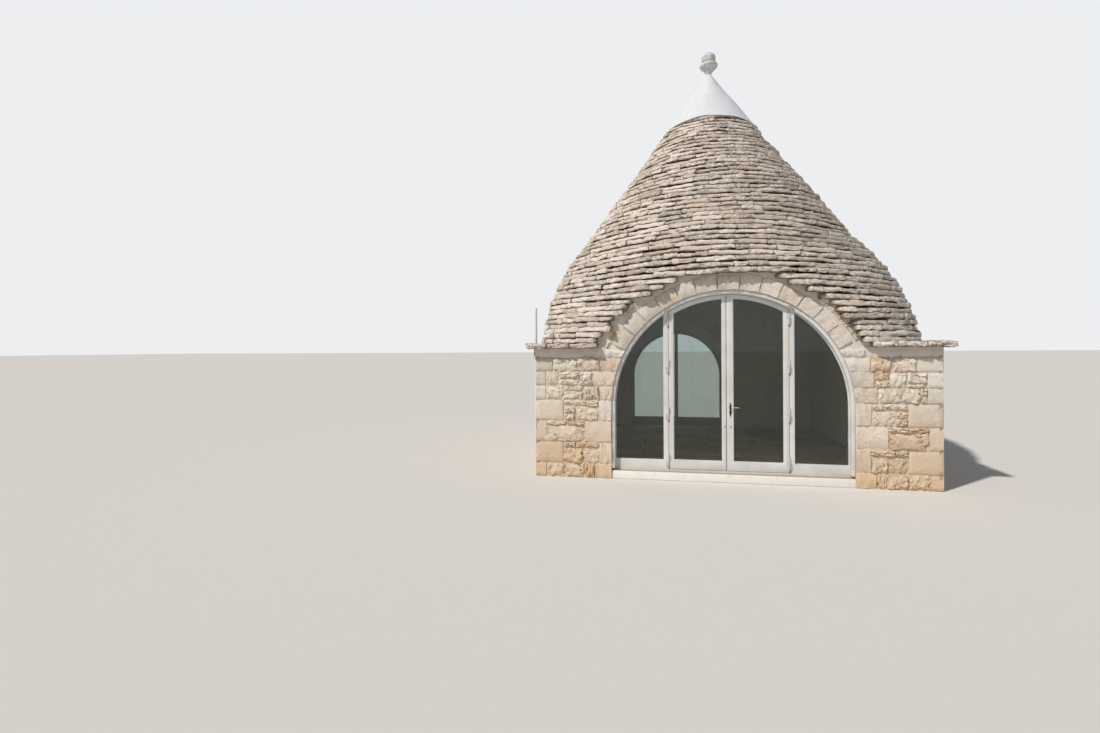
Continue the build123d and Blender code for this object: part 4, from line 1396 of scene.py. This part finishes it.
def bead(node, name, body, outward):
    """Bead 7 mm wide: the pane's face is inset, its middle removed, and the rest drawn 8 mm out of the glass."""
    obj = softened(node, 0)
    open_up(obj)
    mesh = bmesh.from_edit_mesh(obj.data)
    bmesh.ops.delete(mesh, geom=[f for f in mesh.faces if f.normal.y * outward < 0.99], context="FACES")
    bmesh.update_edit_mesh(obj.data)
    bpy.ops.mesh.select_all(action="SELECT")
    bpy.ops.mesh.inset(thickness=0.007, depth=0)
    mesh = bmesh.from_edit_mesh(obj.data)
    bmesh.ops.delete(mesh, geom=[f for f in mesh.faces if f.select], context="FACES")
    bmesh.update_edit_mesh(obj.data)
    bpy.ops.mesh.select_all(action="SELECT")
    bpy.ops.mesh.extrude_region_move(TRANSFORM_OT_translate={"value": (0, outward * 0.008, 0)})
    close_up()
    ease(obj, 0.002, angle=40)
    settle(obj, name, frame_paint, body, angle=30)
    return len(obj.data.polygons)


for node, body, outward in (
    ("left_side_glass", "house", -1), ("right_side_glass", "house", -1), ("left_leaf_glass", "left_leaf", -1),
    ("right_leaf_glass", "right_leaf", -1), ("rear_glass", "house", 1),
):
    print(node, "bead has", bead(node, node + "_bead", body, outward), "faces")
    repaint(pane_glass, node)

# %% [markdown]
# Each leaf hangs on four barrel hinges with turned tips. The barrels and flaps are the CAD ones with their
# edges eased; the tips are small cones with rounded ends, spun like the finial. The lower tips are dark browned
# iron, painted shade for the shaded lower end of each hinge.

# %% Hinges and their tips
tip_profile = [(0, 0), (0.0085, 0), (0.009, 0.003), (0.0065, 0.006), (0.0055, 0.01), (0.0075, 0.016), (0.006, 0.024),
               (0.003, 0.03), (0, 0.031)]
for side, x in hinge_x.items():
    leaf = side + "_leaf"
    for part, body, metal in (("pins", "house", pin_metal_and_shade), ("knuckles", leaf, hinge_metal)):
        node = f"{side}_hinge_{part}"
        settle(softened(node, 0.0008), node + "_eased", metal, body, (node,), angle=30)
    # The lower tips get the dark browned iron: painted shade for the shaded lower end of each hinge
    for place, body, up, metal in (("upper", leaf, 1, hinge_metal), ("lower", "house", -1, handle_metal)):
        feet = [first_hinge + hinge_step * k + up * hinge_reach for k in range(4)]
        tips = lathe(f"{side}_{place}_tips", [[(x + r, hinge_y, z + up * h) for r, h in tip_profile] for z in feet],
                     (x, hinge_y, 0), (0, 0, 1), 16)
        settle(tips, tips.name, metal, body)
print("hinges with turned tips")

# %% [markdown]
# The lock plate is cut from sheet, wide at the lever and at the keyhole and narrow between them. The lever is a
# turned bar, rubbed bright by hands, and a little bolt on each leaf sits lower down.

# %% Handle and bolts
leaf_face = -2.89
lever_x, lever_z, key_z, bolt_z = 0.078, 1.155, 1.08, 0.855
bolt_x = {"left": -0.006, "right": 0.078}
plate_thick, lever_out = 0.008, 0.053
half_plate = [
    (key_z - 0.0725, 0.004), (key_z - 0.05, 0.007), (key_z - 0.022, 0.013), (key_z, 0.018), (key_z + 0.02, 0.013),
    ((key_z + lever_z) / 2, 0.008), (lever_z - 0.02, 0.013), (lever_z, 0.018), (lever_z + 0.022, 0.013),
    (lever_z + 0.05, 0.007), (lever_z + 0.0725, 0.004)]
outline = [(lever_x + w, z) for z, w in half_plate] + [(lever_x - w, z) for z, w in reversed(half_plate)]
plate = shape("lock_plate", [(x, leaf_face, z) for x, z in outline], [], [tuple(range(len(outline)))])
open_up(plate)
bpy.ops.mesh.extrude_region_move(TRANSFORM_OT_translate={"value": (0, -plate_thick, 0)})
close_up()
ease(plate, 0.002, angle=50)


def knob(name, x, z, profile):
    """Turned piece that stands out of a leaf: pairs of radius and distance from the leaf's face."""
    return lathe(name, [[(x + r, leaf_face - h, z) for r, h in profile]], (x, 0, z), (0, 1, 0), 24)


key = knob("key_cylinder", lever_x, key_z, [
    (0, 0), (0.011, 0), (0.011, 0.011), (0.008, 0.015), (0.003, 0.016), (0, 0.016)])
neck = knob("lever_neck", lever_x, lever_z, [
    (0, 0), (0.014, 0), (0.014, 0.012), (0.008, 0.016), (0.007, 0.04), (0.008, 0.058), (0.005, 0.061), (0, 0.061)])
lever_profile = [(-0.006, 0), (-0.005, 0.005), (0.0, 0.008), (0.02, 0.0075), (0.06, 0.006), (0.1, 0.007),
                 (0.118, 0.008), (0.124, 0.005), (0.125, 0)]
bar_y = leaf_face - lever_out
bar = lathe("lever_bar", [[(lever_x + a, bar_y, lever_z + r) for a, r in lever_profile]], (0, bar_y, lever_z),
            (1, 0, 0), 24)
for part, metal in ((plate, handle_metal), (key, handle_metal), (neck, handle_metal), (bar, lever_metal)):
    part.data.materials.append(metal)
only(plate)
for part in (key, neck, bar):
    part.select_set(True)
bpy.ops.object.join()
settle(plate, "lever_handle", None, "right_leaf", ("door_handle",))
for side, x in bolt_x.items():
    bolt = knob(side + "_leaf_bolt", x, bolt_z, [
        (0, -0.002), (0.009, -0.002), (0.009, 0.002), (0.005, 0.004), (0.005, 0.009), (0.008, 0.012), (0.007, 0.016),
        (0.003, 0.018), (0, 0.018)])
    settle(bolt, bolt.name, handle_metal, side + "_leaf")
print("lever handle with its lock, and two bolts")

# %% [markdown]
# The thresholds are one long stone each, painted white, with edges worn round by feet. Inside, the floor is
# laid in rows of slabs that differ in length, over the CAD slab, which is the dark bed in their joints.

# %% Thresholds and floor
for node, name in (("threshold", "front_threshold"), ("rear_threshold", "rear_threshold_washed")):
    settle(softened(node, 0.012, 3), name, step_wash, stands_for=(node,))
floor = Masonry(61)
floor_end = inner_half - 0.01
floor_gap = 0.003
rows_y = np.linspace(-floor_end, floor_end, 11)
for low_y, high_y in zip(rows_y[:-1], rows_y[1:]):
    x = -floor_end
    while x < inner_half - 0.02:
        end = min(x + floor.chance.uniform(0.45, 0.85), floor_end)
        if floor_end - end < 0.25:
            end = floor_end
        floor.stone(ashlar_blanks, [[[
            (a, b, z) for z in (floor_height - 0.03, floor_height + 0.003)]
            for b in (low_y + floor_gap, high_y - floor_gap)] for a in (x + floor_gap, end - floor_gap)])
        x = end
floor.piece("floor_slabs", floor_stone, "floor_stone")
repaint(packing, "floor_slab")

# %% [markdown]
# A thin pipe climbs the left front corner and passes through the ledge. Under the ledge hangs a small lamp: a
# box with an inset foot that is pushed in, as if for its glass.

# %% Pipe and lamp
settle(softened("corner_pipe", 0.004, 3), "corner_pipe_painted", pipe_plastic,
       stands_for=("corner_pipe",))
low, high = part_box("eave_lamp")
only(None)
bpy.ops.mesh.primitive_cube_add(size=1, location=(low + high) / 2)
lamp = bpy.context.object
lamp.scale = high - low
bpy.ops.object.transform_apply(location=True, scale=True)
bpy.ops.object.mode_set(mode="EDIT")


def select_faces(obj, chosen):
    """Selects in edit mode the faces for which a test is true."""
    mesh = bmesh.from_edit_mesh(obj.data)
    for face in mesh.faces:
        face.select = chosen(face)
    bmesh.update_edit_mesh(obj.data)


for end in (-1, 1):
    select_faces(lamp, lambda face: face.normal.z * end > 0.9)
    bpy.ops.mesh.inset(thickness=0.006)
select_faces(lamp, lambda face: face.normal.z < -0.9 and face.calc_area() > 0.002)
bpy.ops.mesh.extrude_region_move(TRANSFORM_OT_translate={"value": (0, 0, 0.02)})
bpy.ops.object.mode_set(mode="OBJECT")
ease(lamp, 0.004, angle=40)
settle(lamp, "ledge_lamp", lamp_metal, stands_for=("eave_lamp",))
print("pipe and lamp")

# %% [markdown]
# The stage is a pale floor without an end that the eye can find, under a pale sky. What the camera, a mirror or
# a pane sees of the sky is its full pale colour; the light it gives the stones is weaker, and a wide soft sun
# from the front left adds the shadows under the courses.

# %% Floor of the stage and light
only(None)
bpy.ops.mesh.primitive_plane_add(size=600, location=(0, 0, -0.001))
ground = bpy.context.object
ground.name = "stage_floor"
ground.data.materials.append(finish(
    new_material("stage_floor")[0],
    {"Base Color": linear("#D8D6D2"), "Roughness": 0.95, "Specular IOR Level": 0.0}, {}))
world = bpy.data.worlds.new("studio")
world.use_nodes = True
bpy.context.scene.world = world
light = wire(world, world.node_tree.nodes["Background"], {"Color": linear("#E2E9F5"), "Strength": 0.3})
seen = add_node(world, "Background", {"Color": linear("#EDEEF0"), "Strength": 1.0})
rays = add_node(world, "LightPath")
looked_at = add_node(world, "Math", links={0: (rays, "Is Camera Ray"), 1: (rays, "Is Glossy Ray")},
                     operation="MAXIMUM")
looked_at = add_node(world, "Math", links={0: (looked_at, "Value"), 1: (rays, "Is Transmission Ray")},
                     operation="MAXIMUM")
sky = add_node(world, "MixShader", links={
    "Fac": (looked_at, "Value"), 1: (light, "Background"), 2: (seen, "Background")})
wire(world, world.node_tree.nodes["World Output"], links={"Surface": (sky, "Shader")})
sun_data = bpy.data.lights.new("sun", "SUN")
sun_data.energy = 3.15
sun_data.angle = math.radians(2.5)
sun_data.color = linear("#FFF9F0")[:3]
sun = bpy.data.objects.new("sun", sun_data)
sun.rotation_euler = Vector((0.5, 0.5, -0.76)).to_track_quat("-Z", "Y").to_euler()
bpy.context.collection.objects.link(sun)
print("pale sky and one soft sun")
